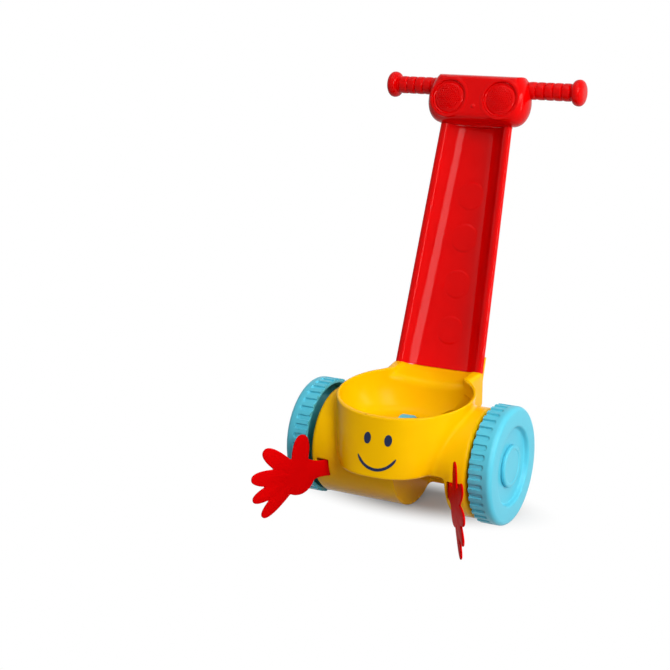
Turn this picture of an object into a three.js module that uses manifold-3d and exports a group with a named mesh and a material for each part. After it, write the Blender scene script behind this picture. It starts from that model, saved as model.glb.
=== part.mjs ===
// Push walker with a ball bowl, two open hands and a ball slide for a handle.
// Millimetres, +Z up. The front faces -Y and the wheels turn about X.
// Pieces are drawn from the main axle's centre and set on the floor at the end.
import * as THREE from 'three';
import { mergeVertices } from 'three/addons/utils/BufferGeometryUtils.js';
import Module from 'manifold-3d';

// fits and walls
const FIT = 0.3;
const WALL = 3;
const ROUND_STEPS = 30;
const CAP_STEPS = 20;
const ROD_STEPS = 14;
const SCREW_STEPS = 8;
const ARC_STEPS = 2;
// how far a cutting form runs past the surface that it opens
const PAST = 1;
const FAR = 300;

// main wheels
const WHEEL_RADIUS = 70;
const WHEEL_WIDTH = 27.5;
const WHEEL_GAP = 4.6;
const TREAD_DEPTH = 2.2;
const TREAD_WIDTH = 17;
const TREAD_LUGS = 38;
const SHOULDER_ROUND = 6;
const RECESS_RADIUS = 45;
const RECESS_DEPTH = 6;
const RECESS_DRAFT = 2;
const LUG_SHARES = [0.27, 0.31, 0.69, 0.73];
const LUG_SETBACK = 0.4;
const LUG_ROOT = 0.5;
const WHEEL_HUB_RADIUS = 11;
const WHEEL_HUB_SETBACK = 1;
const HUB_CAP_RADIUS = 25;
const HUB_CAP_HEIGHT = 4.5;
const HUB_CAP_EDGE = 2;
const AXLE_END_ROOM = 0.5;

// axles and bushes
const AXLE_RADIUS = 4;
const BUSH_WALL = 2;
const BUSH_FLANGE = 2.5;
const BUSH_FLANGE_THICK = 1.2;

// body drum, which joins the wheels under the bowl
const DRUM_RADIUS = 65;
const DRUM_DROP = 2;
const DRUM_HALF_LENGTH = 101;
const DRUM_END_ROUND = 5;

// ball chute, open to the front under the face panel
const BALL_CHUTE_WIDTH = 66;
const BALL_HOLE_RADIUS = 32.5;
const BALL_HOLE_Y = 5.5;
const BALL_HOLE_TOP = 55;
const CHUTE_LEFT = 8;
const CHUTE_BACK = 39;
const CHUTE_BACK_FOOT = -62;
const CHUTE_WALL_TOP = 14;

// tub with the face panel, from its lower edge to the bowl rim
const TUB_LOW = -4;
const TUB_LOW_HALF_WIDTH = 60;
const TUB_LOW_HALF_DEPTH = 76.5;
const TUB_WIDTH_POWER = 0.6;
const TUB_LOW_Y = -27.5;
const TUB_LOW_SQUARENESS = 2.6;
const RIM_HEIGHT = 74.4;
const RIM_HALF_WIDTH = 84;
const RIM_HALF_DEPTH = 72;
const RIM_Y = -14;
const RIM_TILT = THREE.MathUtils.degToRad(8);
const RIM_SPARE = 26;
const BOWL_FLOOR = 30;
const BOWL_FLOOR_SHARE = 0.66;

// kicker on the drive axle, which comes up through the bowl floor
const KICKER_RADIUS = 41;
const KICKER_WIDTH = 17;
const KICKER_X = -5.5;
const KICKER_LOBES = 3;
const KICKER_SWELL = 0.26;
const KICKER_CLEARANCE = 1.5;
const KICKER_EDGE = 1.5;

// slide: a tapered gutter that leans back
const SLIDE_FOOT_Y = 73;
const SLIDE_FOOT_Z = 83;
const SLIDE_LEAN = THREE.MathUtils.degToRad(18.9);
const SLIDE_LENGTH = 303;
const SLIDE_FOOT_HALF_WIDTH = 59;
const SLIDE_TOP_HALF_WIDTH = 47.8;
const RAIL_WIDTH = 12;
const RAIL_EDGE_DEPTH = 3.5;
const RAIL_THICK = 7;
const RAIL_SIDE_DEPTH = 4.3;
const RAIL_CREST_INSET = 5;
const RAIL_NOSE = [1.5, 1.2];
const RAIL_FALL = [9, 0.9];
const RAIL_FOOT_INSET = 2;
const GUTTER_DEPTH = 22;
const GUTTER_STEPS = 12;
const TONGUE_HALF_WIDTH = 24;
const TONGUE_THICK = 3.6;
const TONGUE_LENGTH = 18;

// receiver on the body that carries the slide's foot
const RECEIVER_LENGTH = 8;
const RECEIVER_ROOT_Y = 34;
const RECEIVER_ROOT_TOP = 80;
const RECEIVER_ROOT_SHARE = 0.86;
const RECEIVER_ROOT_DEPTH = 1.9;
const COLLAR_RISE = 18;
const COLLAR_WALL = 3.5;
const COLLAR_SHARE = 0.74;
const CHEEK_INSET = 1;
const CHEEK_WIDTH = 12.5;
const CHEEK_REAR = 83;
const CHEEK_HEEL = 42;
const CHEEK_FOOT_Y = 60;
const CHEEK_FOOT_Z = 22;
const POST_WIDTH = 9.5;
const POST_DEPTH = 3.2;
const POST_RISE = 26;
const LIP_Y = 46;
const LIP_HEIGHT = 66;
const LIP_HALF_WIDTH = 46;
const LIP_HOLLOW = 10;
const RAMP_REACH = 60;
const RAMP_OVERLAP = 2;
const RAMP_HEADROOM = 40;

// head at the top of the slide
const HEAD_HEIGHT = 64;
const HEAD_LOW_HALF_WIDTH = 46;
const HEAD_HALF_WIDTH = 66;
const HEAD_TOP_HALF_WIDTH = 55;
const HEAD_WIDEST_SHARE = 0.46;
const HEAD_FRONT = -16;
const HEAD_DEPTH = 41;
const HEAD_SIDE_CREST = 19;
const HEAD_TOP_CREST = 28;
const HEAD_FRONT_DRAW = 9.5;
const HEAD_REAR_DRAW = 12;
const HEAD_STATIONS = [0, 0.05, 0.18, 0.463, 0.683, 0.85, 0.95, 1];
const HEAD_STEPS = 5;
const SOCKET_HALF_WIDTH = 38;
const SOCKET_FRONT = 0;
const SOCKET_BACK = 31;
const SOCKET_HEIGHT = 28;
const HEAD_CORNER_SHARE = 0.9;
const HEAD_LOW_SWELL = 0.45;
const HEAD_TOP_SWELL = 0.4;
const GRILLE_X = 34;
const GRILLE_HEIGHT = 29;
const GRILLE_RADIUS = 21;
const GRILLE_FLANGE = 2.2;
const GRILLE_FLANGE_THICK = 1.6;
const GRILLE_DISH = 2;
const GRILLE_SETBACK = 0.6;
const GRILLE_EDGE = 1.5;
const GRILLE_BEND = [0.55, 0.75];

// handlebar
const BAR_BACK = 12;
const BAR_RISE = 47.8;
const BAR_HALF_LENGTH = 131;
const BAR_RADIUS = 8;
const BAR_WALL = 2;
const GRIP_START = 55;
const GRIP_RADIUS = 11;
const GRIP_GROOVE = 1.2;
const GRIP_RIBS = 5;
const GRIP_STEPS = 18;
const GRIP_RIB_SHARES = [0.3, 0.72, 0.86];
const KNOB_RADIUS = 16.5;
const KNOB_LENGTH = 14.5;
const KNOB_PLUG_LENGTH = 10;
const KNOB_NECK_RADIUS = 8;
const KNOB_FULLNESS = 0.6;
const KNOB_STEPS = 6;

// hands, as plates that stand on edge and spread outwards
const HAND_SPREAD = THREE.MathUtils.degToRad(34);
const HAND_THICK = 3.4;
const HAND_INSET = 4.8;
const HAND_ROOT_X = 79;
const WRIST_LOW = -29;
const WRIST_HIGH = -8;
const WRIST_LENGTH = 32;
const WRIST_PLAIN = 12;
const WRIST_FLARE = 4;
const PALM_ALONG = 40;
const PALM_UP = -23;
const PALM_HALF_LENGTH = 22;
const PALM_HALF_HEIGHT = 24;
const HAND_REACH = 63;
// each finger's angle, and its reach, half length and half width as shares of the hand's reach
const FINGERS = [
  { angle: 97, reach: 0.81, half: 0.4, wide: 0.178 },
  { angle: 41, reach: 0.93, half: 0.47, wide: 0.172 },
  { angle: 5, reach: 0.965, half: 0.476, wide: 0.168 },
  { angle: -20.5, reach: 1, half: 0.476, wide: 0.147 },
  { angle: -43, reach: 1.02, half: 0.476, wide: 0.142 },
];
const FINGER_STEPS = 18;
const FINGER_FULLNESS = 2.4;
const PIN_RADIUS = 2.4;
const PIN_X = 82;
const PIN_SETBACK = 15;
const PIN_SHELF = 3;
const PIN_SHELF_MARGIN = 3;
const BARREL_RADIUS = 4.8;
const SLOT_OUTER_X = 93;

// underside cover
const COVER_END_MARGIN = 11;
const COVER_CHUTE_MARGIN = 14;
const COVER_FRONT_SHARE = 0.185;
const COVER_REAR_SHARE = 0.708;
const LEDGE_WIDTH = 8;

// rear bracket and rear wheels
const REAR_WHEEL_RADIUS = 24;
const REAR_WHEEL_WIDTH = 16;
const REAR_AXLE_Y = 104;
const REAR_AXLE_RADIUS = 2.5;
const REAR_HUB_RADIUS = 6;
const REAR_WHEEL_EDGE = 2.5;
const REAR_WHEEL_GAP = 1;
const BRACKET_HALF_WIDTH = 34;
const BRACKET_TOP = -8;
const BRACKET_LOW = -56;
const BRACKET_TAIL = 14;
const BRACKET_WALL = 4;
const BRACKET_NEAR = 26;
const BRACKET_COVER_GAP = 2;
const REAR_CAP_RADIUS = 5.5;
const REAR_CAP_LENGTH = 5;
const REAR_CAP_WALL = 1.5;
const REAR_CAP_EDGE = 1;

// screws
const SCREW_RADIUS = 1.5;
const SCREW_HEAD_RADIUS = 3;
const SCREW_HEAD_HEIGHT = 2;
const BOSS_RADIUS = 5.4;
const COVER_SCREW_TURNS = [0.06, 0.6];
const BRACKET_SCREW_TURNS = [0.86, 1.24];
const BRACKET_SCREW_X = 18;
const SLIDE_SCREW_TURNS = [-0.42, 0, 0.42];
const SLIDE_SCREW_BITE = 2;
const HEAD_SCREW_PLACES = [[-57, 29], [57, 29], [-8, 33], [8, 33]];
const HEAD_SCREW_DEPTH = 10;
const HEAD_SCREW_COVER = 5;

const YELLOW = { color: 0xf9b802, roughness: 0.3, metalness: 0 };
const RED = { color: 0xd20a0a, roughness: 0.28, metalness: 0 };
const BLUE = { color: 0x63bfd6, roughness: 0.35, metalness: 0 };
const STEEL = { color: 0xb9bcc0, roughness: 0.3, metalness: 1 };
const NATURAL = { color: 0xe6e2d6, roughness: 0.5, metalness: 0 };

// places worked out from the sizes above
const lerp = THREE.MathUtils.lerp;
const WHEEL_INNER_X = DRUM_HALF_LENGTH + WHEEL_GAP;
const WHEEL_OUTER_X = WHEEL_INNER_X + WHEEL_WIDTH;
const WHEEL_WEB_X = WHEEL_OUTER_X - RECESS_DEPTH;
const AXLE_END_X = WHEEL_WEB_X + FIT + HUB_CAP_HEIGHT / 3;
const DRUM_Z = -DRUM_DROP;
const CHUTE_RIGHT = CHUTE_LEFT + BALL_CHUTE_WIDTH;
const COVER_LEFT = COVER_END_MARGIN - DRUM_HALF_LENGTH;
const CHEEK_OUTER = SLIDE_FOOT_HALF_WIDTH - CHEEK_INSET;
const COVER_RIGHT = CHUTE_LEFT - COVER_CHUTE_MARGIN;
const COVER_FRONT = -DRUM_RADIUS * COVER_FRONT_SHARE;
const COVER_REAR = DRUM_RADIUS * COVER_REAR_SHARE;
const BALL_HOLE_X = (CHUTE_LEFT + CHUTE_RIGHT) / 2 + 0.5;
const BUSH_RADIUS = AXLE_RADIUS + FIT + BUSH_WALL;
const HANDLE = new THREE.Matrix4()
  .makeTranslation(0, SLIDE_FOOT_Y, SLIDE_FOOT_Z)
  .multiply(new THREE.Matrix4().makeRotationX(-SLIDE_LEAN));
const HEAD_LOW = SLIDE_LENGTH + FIT;
const HEAD_BACK = HEAD_FRONT + HEAD_DEPTH;
const BAR_Z = HEAD_LOW + BAR_RISE;
const HEAD_SCREW_TIP = HEAD_FRONT + WALL + HEAD_SCREW_COVER;
const HEAD_SCREW_SEAT = HEAD_BACK - HEAD_SCREW_DEPTH;
const PIN_Y = -(DRUM_RADIUS - PIN_SETBACK);
const HAND_ROOT_Y = -(DRUM_RADIUS - HAND_INSET);
const REAR_AXLE_Z = REAR_WHEEL_RADIUS - WHEEL_RADIUS;
const REAR_WHEEL_X = BRACKET_HALF_WIDTH + REAR_WHEEL_GAP;
const BRACKET_BACK = REAR_AXLE_Y + BRACKET_TAIL;

const wasm = await Module();
wasm.setup();

/** Volume of a triangle list, negative where its faces point inwards. */
function signedVolume(points, triangles) {
  const [a, b, c] = [new THREE.Vector3(), new THREE.Vector3(), new THREE.Vector3()];
  let volume = 0;
  for (let i = 0; i < triangles.length; i += 3) {
    a.fromArray(points, triangles[i] * 3);
    b.fromArray(points, triangles[i + 1] * 3);
    c.fromArray(points, triangles[i + 2] * 3);
    volume += a.dot(b.cross(c)) / 6;
  }
  return volume;
}

/** Turns a closed three.js geometry into a solid for boolean work. */
function solidOf(geometry) {
  const bare = geometry.clone();
  for (const name of Object.keys(bare.attributes)) {
    if (name !== 'position') bare.deleteAttribute(name);
  }
  const merged = mergeVertices(bare, 1e-4);
  const points = merged.attributes.position.array;
  const index = merged.index.array;
  const triangles = [];
  for (let i = 0; i < index.length; i += 3) {
    const [a, b, c] = [index[i], index[i + 1], index[i + 2]];
    if (a !== b && b !== c && c !== a) triangles.push(a, b, c);
  }
  if (signedVolume(points, triangles) < 0) triangles.reverse();
  return new wasm.Manifold(new wasm.Mesh({
    numProp: 3,
    vertProperties: new Float32Array(points),
    triVerts: new Uint32Array(triangles),
  }));
}

/** Joins any number of solids. */
function join(...solids) {
  return solids.reduce((whole, solid) => whole.add(solid));
}

/** Takes any number of solids away from the first one. */
function cut(solid, ...tools) {
  return tools.reduce((rest, tool) => rest.subtract(tool), solid);
}

/** The surface of a solid as a three.js geometry. */
function geometryOf(solid) {
  const { vertProperties, triVerts } = solid.getMesh();
  const geometry = new THREE.BufferGeometry();
  geometry.setAttribute('position', new THREE.BufferAttribute(vertProperties, 3));
  geometry.setIndex(new THREE.BufferAttribute(triVerts, 1));
  return geometry;
}

/** A named mesh with its own material. */
function piece(name, solid, finish) {
  const geometry = geometryOf(solid);
  geometry.computeVertexNormals();
  const mesh = new THREE.Mesh(geometry, new THREE.MeshStandardMaterial(finish));
  mesh.name = name;
  return mesh;
}

/** Steel pieces of one kind, numbered from 1. */
function numbered(name, solids) {
  return solids.map((solid, i) => piece(`${name}_${i + 1}`, solid, STEEL));
}

/** A box between two corners. */
function block([x0, x1], [y0, y1], [z0, z1]) {
  const geometry = new THREE.BoxGeometry(x1 - x0, y1 - y0, z1 - z0);
  return geometry.translate((x0 + x1) / 2, (y0 + y1) / 2, (z0 + z1) / 2);
}

/** A body turned about the X axis. Profile points are [radius, x]. */
function turnedX(profile, steps = ROUND_STEPS) {
  const points = profile.map(([radius, x]) => new THREE.Vector2(radius, x));
  return new THREE.LatheGeometry(points, steps).rotateZ(-Math.PI / 2);
}

/** A plain rod along X. */
function rodX(radius, x0, x1, y = 0, z = 0, steps = ROD_STEPS) {
  return turnedX([[0, x0], [radius, x0], [radius, x1], [0, x1]], steps).translate(0, y, z);
}

/** A plain rod along Y. */
function rodY(radius, y0, y1, x = 0, z = 0, steps = SCREW_STEPS) {
  return rodX(radius, y0, y1, 0, 0, steps).rotateZ(Math.PI / 2).translate(x, 0, z);
}

/** A plain rod along Z. */
function rodZ(radius, z0, z1, x = 0, y = 0, steps = SCREW_STEPS) {
  return rodX(radius, z0, z1, 0, 0, steps).rotateY(-Math.PI / 2).translate(x, y, 0);
}

/** The same form on the other side of the middle plane. */
function mirrored(geometry) {
  return geometry.clone().scale(-1, 1, 1);
}

/** A form drawn in the slide's own frame, set at the slide's lean. */
function leaning(geometry) {
  return geometry.clone().applyMatrix4(HANDLE);
}

/** A closed skin through rings of equal point count, with flat ends. */
function loft(rings, flatten = (point) => new THREE.Vector2(point.x, point.y)) {
  const count = rings[0].length;
  const positions = rings.flat().flatMap((point) => point.toArray());
  const index = [];
  for (let ring = 0; ring + 1 < rings.length; ring += 1) {
    for (let i = 0; i < count; i += 1) {
      const a = ring * count + i;
      const b = ring * count + ((i + 1) % count);
      index.push(a, b, b + count, a, b + count, a + count);
    }
  }
  const side = (ring, flip) => {
    const outline = rings[ring].map(flatten);
    const clockwise = THREE.ShapeUtils.isClockWise(outline);
    const order = outline.map((_, i) => (clockwise ? count - 1 - i : i));
    const faces = THREE.ShapeUtils.triangulateShape(order.map((i) => outline[i]), []);
    for (const face of faces) {
      const [a, b, c] = face.map((i) => ring * count + order[i]);
      if (flip !== clockwise) index.push(a, c, b);
      else index.push(a, b, c);
    }
  };
  side(0, true);
  side(rings.length - 1, false);
  const geometry = new THREE.BufferGeometry();
  geometry.setAttribute('position', new THREE.Float32BufferAttribute(positions, 3));
  geometry.setIndex(index);
  return geometry;
}

/** A drum about the main axis with rounded ends. */
function drum(radius, x0, x1, round) {
  const profile = [[0, x0]];
  const steps = ARC_STEPS;
  for (let i = 0; i <= steps; i += 1) {
    const turn = (Math.PI / 2) * (i / steps);
    profile.push([radius - round + round * Math.sin(turn), x0 + round - round * Math.cos(turn)]);
  }
  for (let i = 0; i <= steps; i += 1) {
    const turn = (Math.PI / 2) * (i / steps);
    profile.push([radius - round + round * Math.cos(turn), x1 - round + round * Math.sin(turn)]);
  }
  profile.push([0, x1]);
  return turnedX(profile).translate(0, 0, DRUM_Z);
}

/** A thick ring piece of the drum between two radii. */
function drumRing(inner, outer, x0, x1) {
  return cut(
    solidOf(rodX(outer, x0, x1, 0, DRUM_Z, ROUND_STEPS)),
    solidOf(rodX(inner, x0 - PAST, x1 + PAST, 0, DRUM_Z, ROUND_STEPS)),
  );
}

/** A horizontal ring of a rounded outline. */
function roundRing(height, halfWidth, halfDepth, y, squareness) {
  const ring = [];
  const power = 2 / squareness;
  for (let i = 0; i < ROUND_STEPS; i += 1) {
    const turn = (2 * Math.PI * i) / ROUND_STEPS;
    const [c, s] = [Math.cos(turn), Math.sin(turn)];
    const x = halfWidth * Math.sign(c) * Math.abs(c) ** power;
    const depth = halfDepth * Math.sign(s) * Math.abs(s) ** power;
    ring.push(new THREE.Vector3(x, y + depth, height));
  }
  return ring;
}

/** The tub between two heights, drawn in by an inset. */
function tub(low, high, inset) {
  const rings = [];
  const steps = ARC_STEPS;
  for (let i = 0; i <= steps; i += 1) {
    const height = lerp(low, high, i / steps);
    const share = (height - TUB_LOW) / (RIM_HEIGHT - TUB_LOW);
    rings.push(roundRing(
      height,
      lerp(TUB_LOW_HALF_WIDTH, RIM_HALF_WIDTH, Math.max(0, share) ** TUB_WIDTH_POWER) - inset,
      lerp(TUB_LOW_HALF_DEPTH, RIM_HALF_DEPTH, share) - inset,
      lerp(TUB_LOW_Y, RIM_Y, share),
      Math.max(2, lerp(TUB_LOW_SQUARENESS, 2, share)),
    ));
  }
  return loft(rings);
}

/** The bowl's hollow; a swell of one wall gives the outside of its dish. */
function bowl(swell) {
  const steps = ARC_STEPS * 2;
  const rings = [];
  for (let i = 0; i <= steps; i += 1) {
    const turn = (Math.PI / 2) * (i / steps);
    const share = lerp(BOWL_FLOOR_SHARE, 1, Math.sin(turn));
    const height = lerp(RIM_HEIGHT, BOWL_FLOOR, Math.cos(turn)) - swell;
    rings.push(roundRing(
      height,
      (RIM_HALF_WIDTH - WALL) * share + swell,
      (RIM_HALF_DEPTH - WALL) * share + swell,
      RIM_Y,
      2,
    ));
  }
  const last = RIM_HEIGHT + RIM_SPARE + PAST;
  rings.push(roundRing(last, RIM_HALF_WIDTH - WALL + swell, RIM_HALF_DEPTH - WALL + swell, RIM_Y, 2));
  return loft(rings);
}

/** Half the gutter's opening angle and its radius for a rail position. */
function gutterArc(halfWidth) {
  const half = halfWidth - RAIL_WIDTH;
  const rise = GUTTER_DEPTH - RAIL_EDGE_DEPTH;
  const radius = (half * half + rise * rise) / (2 * rise);
  return { radius, centre: GUTTER_DEPTH - radius, angle: Math.asin(half / radius) };
}

/** Points along the gutter floor, left to right, a given thickness below it. */
function gutterFloor(halfWidth, below, share = 1) {
  const { radius, centre, angle } = gutterArc(halfWidth);
  const points = [];
  for (let i = 0; i <= GUTTER_STEPS; i += 1) {
    const turn = lerp(-angle, angle, i / GUTTER_STEPS) * share;
    const reach = radius + below;
    points.push(new THREE.Vector2(reach * Math.sin(turn), centre + reach * Math.cos(turn)));
  }
  return points;
}

/** The slide's section with rolled rails, as a closed outline. */
function slideSection(halfWidth) {
  const rail = [[0, RAIL_SIDE_DEPTH], RAIL_NOSE, [RAIL_CREST_INSET, 0], RAIL_FALL];
  const left = rail.map(([inset, depth]) => new THREE.Vector2(inset - halfWidth, depth));
  const right = rail.map(([inset, depth]) => new THREE.Vector2(halfWidth - inset, depth)).reverse();
  const under = gutterFloor(halfWidth, WALL).reverse();
  return [
    ...left,
    ...gutterFloor(halfWidth, 0),
    ...right,
    new THREE.Vector2(halfWidth - RAIL_FOOT_INSET, RAIL_THICK),
    ...under,
    new THREE.Vector2(RAIL_FOOT_INSET - halfWidth, RAIL_THICK),
  ];
}

/** Lifts a flat section to a height along the slide. */
function atHeight(section, height) {
  return section.map((point) => new THREE.Vector3(point.x, point.y, height));
}

/** A screw along Y, its head at the back, its tip at the front. */
function screwY(tip, seat, x, z) {
  const shank = solidOf(rodY(SCREW_RADIUS, tip, seat + SCREW_HEAD_HEIGHT / 2, x, z));
  return shank.add(solidOf(rodY(SCREW_HEAD_RADIUS, seat, seat + SCREW_HEAD_HEIGHT, x, z)));
}

/** The hole and head pocket for such a screw. */
function screwHoleY(tip, seat, back, x, z) {
  return solidOf(rodY(SCREW_RADIUS + FIT, tip - FIT, seat + FIT, x, z))
    .add(solidOf(rodY(SCREW_HEAD_RADIUS + FIT, seat - FIT, back, x, z)));
}

/** Sets a form drawn at the drum's underside at a turn about the drum. */
function aroundDrum(geometry, turn) {
  return geometry.rotateX(turn).translate(0, 0, DRUM_Z);
}

/** A screw that points to the drum's axis, its head flush with a radius. */
function drumScrew(outer, length, x, turn, spare) {
  const head = rodZ(SCREW_HEAD_RADIUS + spare, -outer - spare * 4, -outer + SCREW_HEAD_HEIGHT + spare, x);
  const shank = rodZ(SCREW_RADIUS + spare, -outer + SCREW_HEAD_HEIGHT / 2, -outer + length + spare, x);
  return solidOf(aroundDrum(head, turn)).add(solidOf(aroundDrum(shank, turn)));
}

/** Every pairing of a place along the drum with a turn around it. */
function pairs(places, turns) {
  return places.flatMap((x) => turns.map((turn) => [x, turn]));
}

/** Screws of the underside cover, with spare room for their holes. */
function coverScrews(spare) {
  const places = [COVER_LEFT + LEDGE_WIDTH / 2, COVER_RIGHT - LEDGE_WIDTH / 2];
  const length = WALL + FIT + WALL;
  return pairs(places, COVER_SCREW_TURNS).map(([x, turn]) => drumScrew(DRUM_RADIUS, length, x, turn, spare));
}

/** Screws of the rear bracket, with spare room for their holes. */
function bracketScrews(spare) {
  const outer = DRUM_RADIUS + FIT + BRACKET_WALL + SCREW_HEAD_HEIGHT;
  const length = outer - DRUM_RADIUS + WALL - 2 * FIT;
  return pairs([-BRACKET_SCREW_X, BRACKET_SCREW_X], BRACKET_SCREW_TURNS)
    .map(([x, turn]) => drumScrew(outer, length, x, turn, spare));
}

/** The right cheek under the slide's rail, which joins the receiver to the tub and the drum. */
function receiverCheek() {
  const seat = (y) => (
    SLIDE_FOOT_Z - (y - SLIDE_FOOT_Y) * Math.tan(SLIDE_LEAN) - FIT / Math.cos(SLIDE_LEAN)
  );
  const outline = [
    [RECEIVER_ROOT_Y, RECEIVER_ROOT_TOP], [SLIDE_FOOT_Y, seat(SLIDE_FOOT_Y)], [CHEEK_REAR, seat(CHEEK_REAR)],
    [CHEEK_REAR, CHEEK_HEEL], [CHEEK_FOOT_Y, CHEEK_FOOT_Z], [RECEIVER_ROOT_Y, CHEEK_FOOT_Z],
  ];
  const sides = [CHEEK_OUTER - CHEEK_WIDTH, CHEEK_OUTER];
  const rings = sides.map((x) => outline.map(([y, z]) => new THREE.Vector3(x, y, z)));
  return loft(rings, (point) => new THREE.Vector2(point.y, point.z));
}

/** The receiver that the slide's foot stands in. */
function receiver() {
  const outer = gutterFloor(SLIDE_FOOT_HALF_WIDTH, WALL + FIT + COLLAR_WALL);
  const seat = [
    ...outer,
    new THREE.Vector2(SLIDE_FOOT_HALF_WIDTH, RAIL_SIDE_DEPTH),
    new THREE.Vector2(SLIDE_FOOT_HALF_WIDTH - RAIL_CREST_INSET, 0),
    new THREE.Vector2(RAIL_CREST_INSET - SLIDE_FOOT_HALF_WIDTH, 0),
    new THREE.Vector2(-SLIDE_FOOT_HALF_WIDTH, RAIL_SIDE_DEPTH),
  ];
  const lean = (height) => atHeight(seat, height).map((point) => point.applyMatrix4(HANDLE));
  const root = seat.map((point) => new THREE.Vector3(
    point.x * RECEIVER_ROOT_SHARE, RECEIVER_ROOT_Y, RECEIVER_ROOT_TOP - point.y * RECEIVER_ROOT_DEPTH,
  ));
  const flatten = (point) => new THREE.Vector2(point.x, point.z);
  const stand = loft([lean(-FIT), lean(-RECEIVER_LENGTH), root], flatten);
  const collarOut = gutterFloor(SLIDE_FOOT_HALF_WIDTH, WALL + FIT + COLLAR_WALL, COLLAR_SHARE);
  const collarIn = gutterFloor(SLIDE_FOOT_HALF_WIDTH, WALL + FIT, COLLAR_SHARE).reverse();
  const collar = loft([-RECEIVER_LENGTH, COLLAR_RISE].map((z) => atHeight([...collarOut, ...collarIn], z)));
  const cheek = receiverCheek();
  const post = leaning(block(
    [CHEEK_OUTER - POST_WIDTH, CHEEK_OUTER], [RAIL_THICK + FIT, RAIL_THICK + FIT + POST_DEPTH],
    [-RECEIVER_LENGTH, POST_RISE],
  ));
  const sides = [cheek, post].flatMap((form) => [form, mirrored(form)]).map(solidOf);
  return join(solidOf(stand), solidOf(leaning(collar)), ...sides);
}

/** The ramp that leads from the slide's floor over the lip into the bowl. */
function ramp() {
  const floor = gutterFloor(SLIDE_FOOT_HALF_WIDTH, 0);
  const half = SLIDE_FOOT_HALF_WIDTH - RAIL_WIDTH;
  const section = [...floor, new THREE.Vector2(half, -RAMP_REACH), new THREE.Vector2(-half, -RAMP_REACH)];
  const upper = atHeight(section, RAMP_OVERLAP).map((point) => point.applyMatrix4(HANDLE));
  const lower = [];
  for (let i = 0; i <= GUTTER_STEPS; i += 1) {
    const side = lerp(-1, 1, i / GUTTER_STEPS);
    lower.push(new THREE.Vector3(LIP_HALF_WIDTH * side, LIP_Y, LIP_HEIGHT + LIP_HOLLOW * side * side));
  }
  const top = SLIDE_FOOT_Z + RAMP_HEADROOM;
  lower.push(new THREE.Vector3(LIP_HALF_WIDTH, LIP_Y, top));
  lower.push(new THREE.Vector3(-LIP_HALF_WIDTH, LIP_Y, top));
  return loft([upper, lower], (point) => new THREE.Vector2(point.x, point.z));
}

/** Shelves in each side of the drum that hold a hand's pin. */
function pinShelves() {
  const reach = BARREL_RADIUS + PIN_SHELF_MARGIN;
  const depth = [PIN_Y - reach, PIN_Y + reach];
  const low = [WRIST_LOW - FIT - PIN_SHELF, WRIST_LOW - FIT];
  const high = [WRIST_HIGH + FIT, WRIST_HIGH + FIT + PIN_SHELF];
  return [low, high].map((level) => block([CHUTE_RIGHT + PAST, DRUM_HALF_LENGTH - PAST], depth, level));
}

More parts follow.
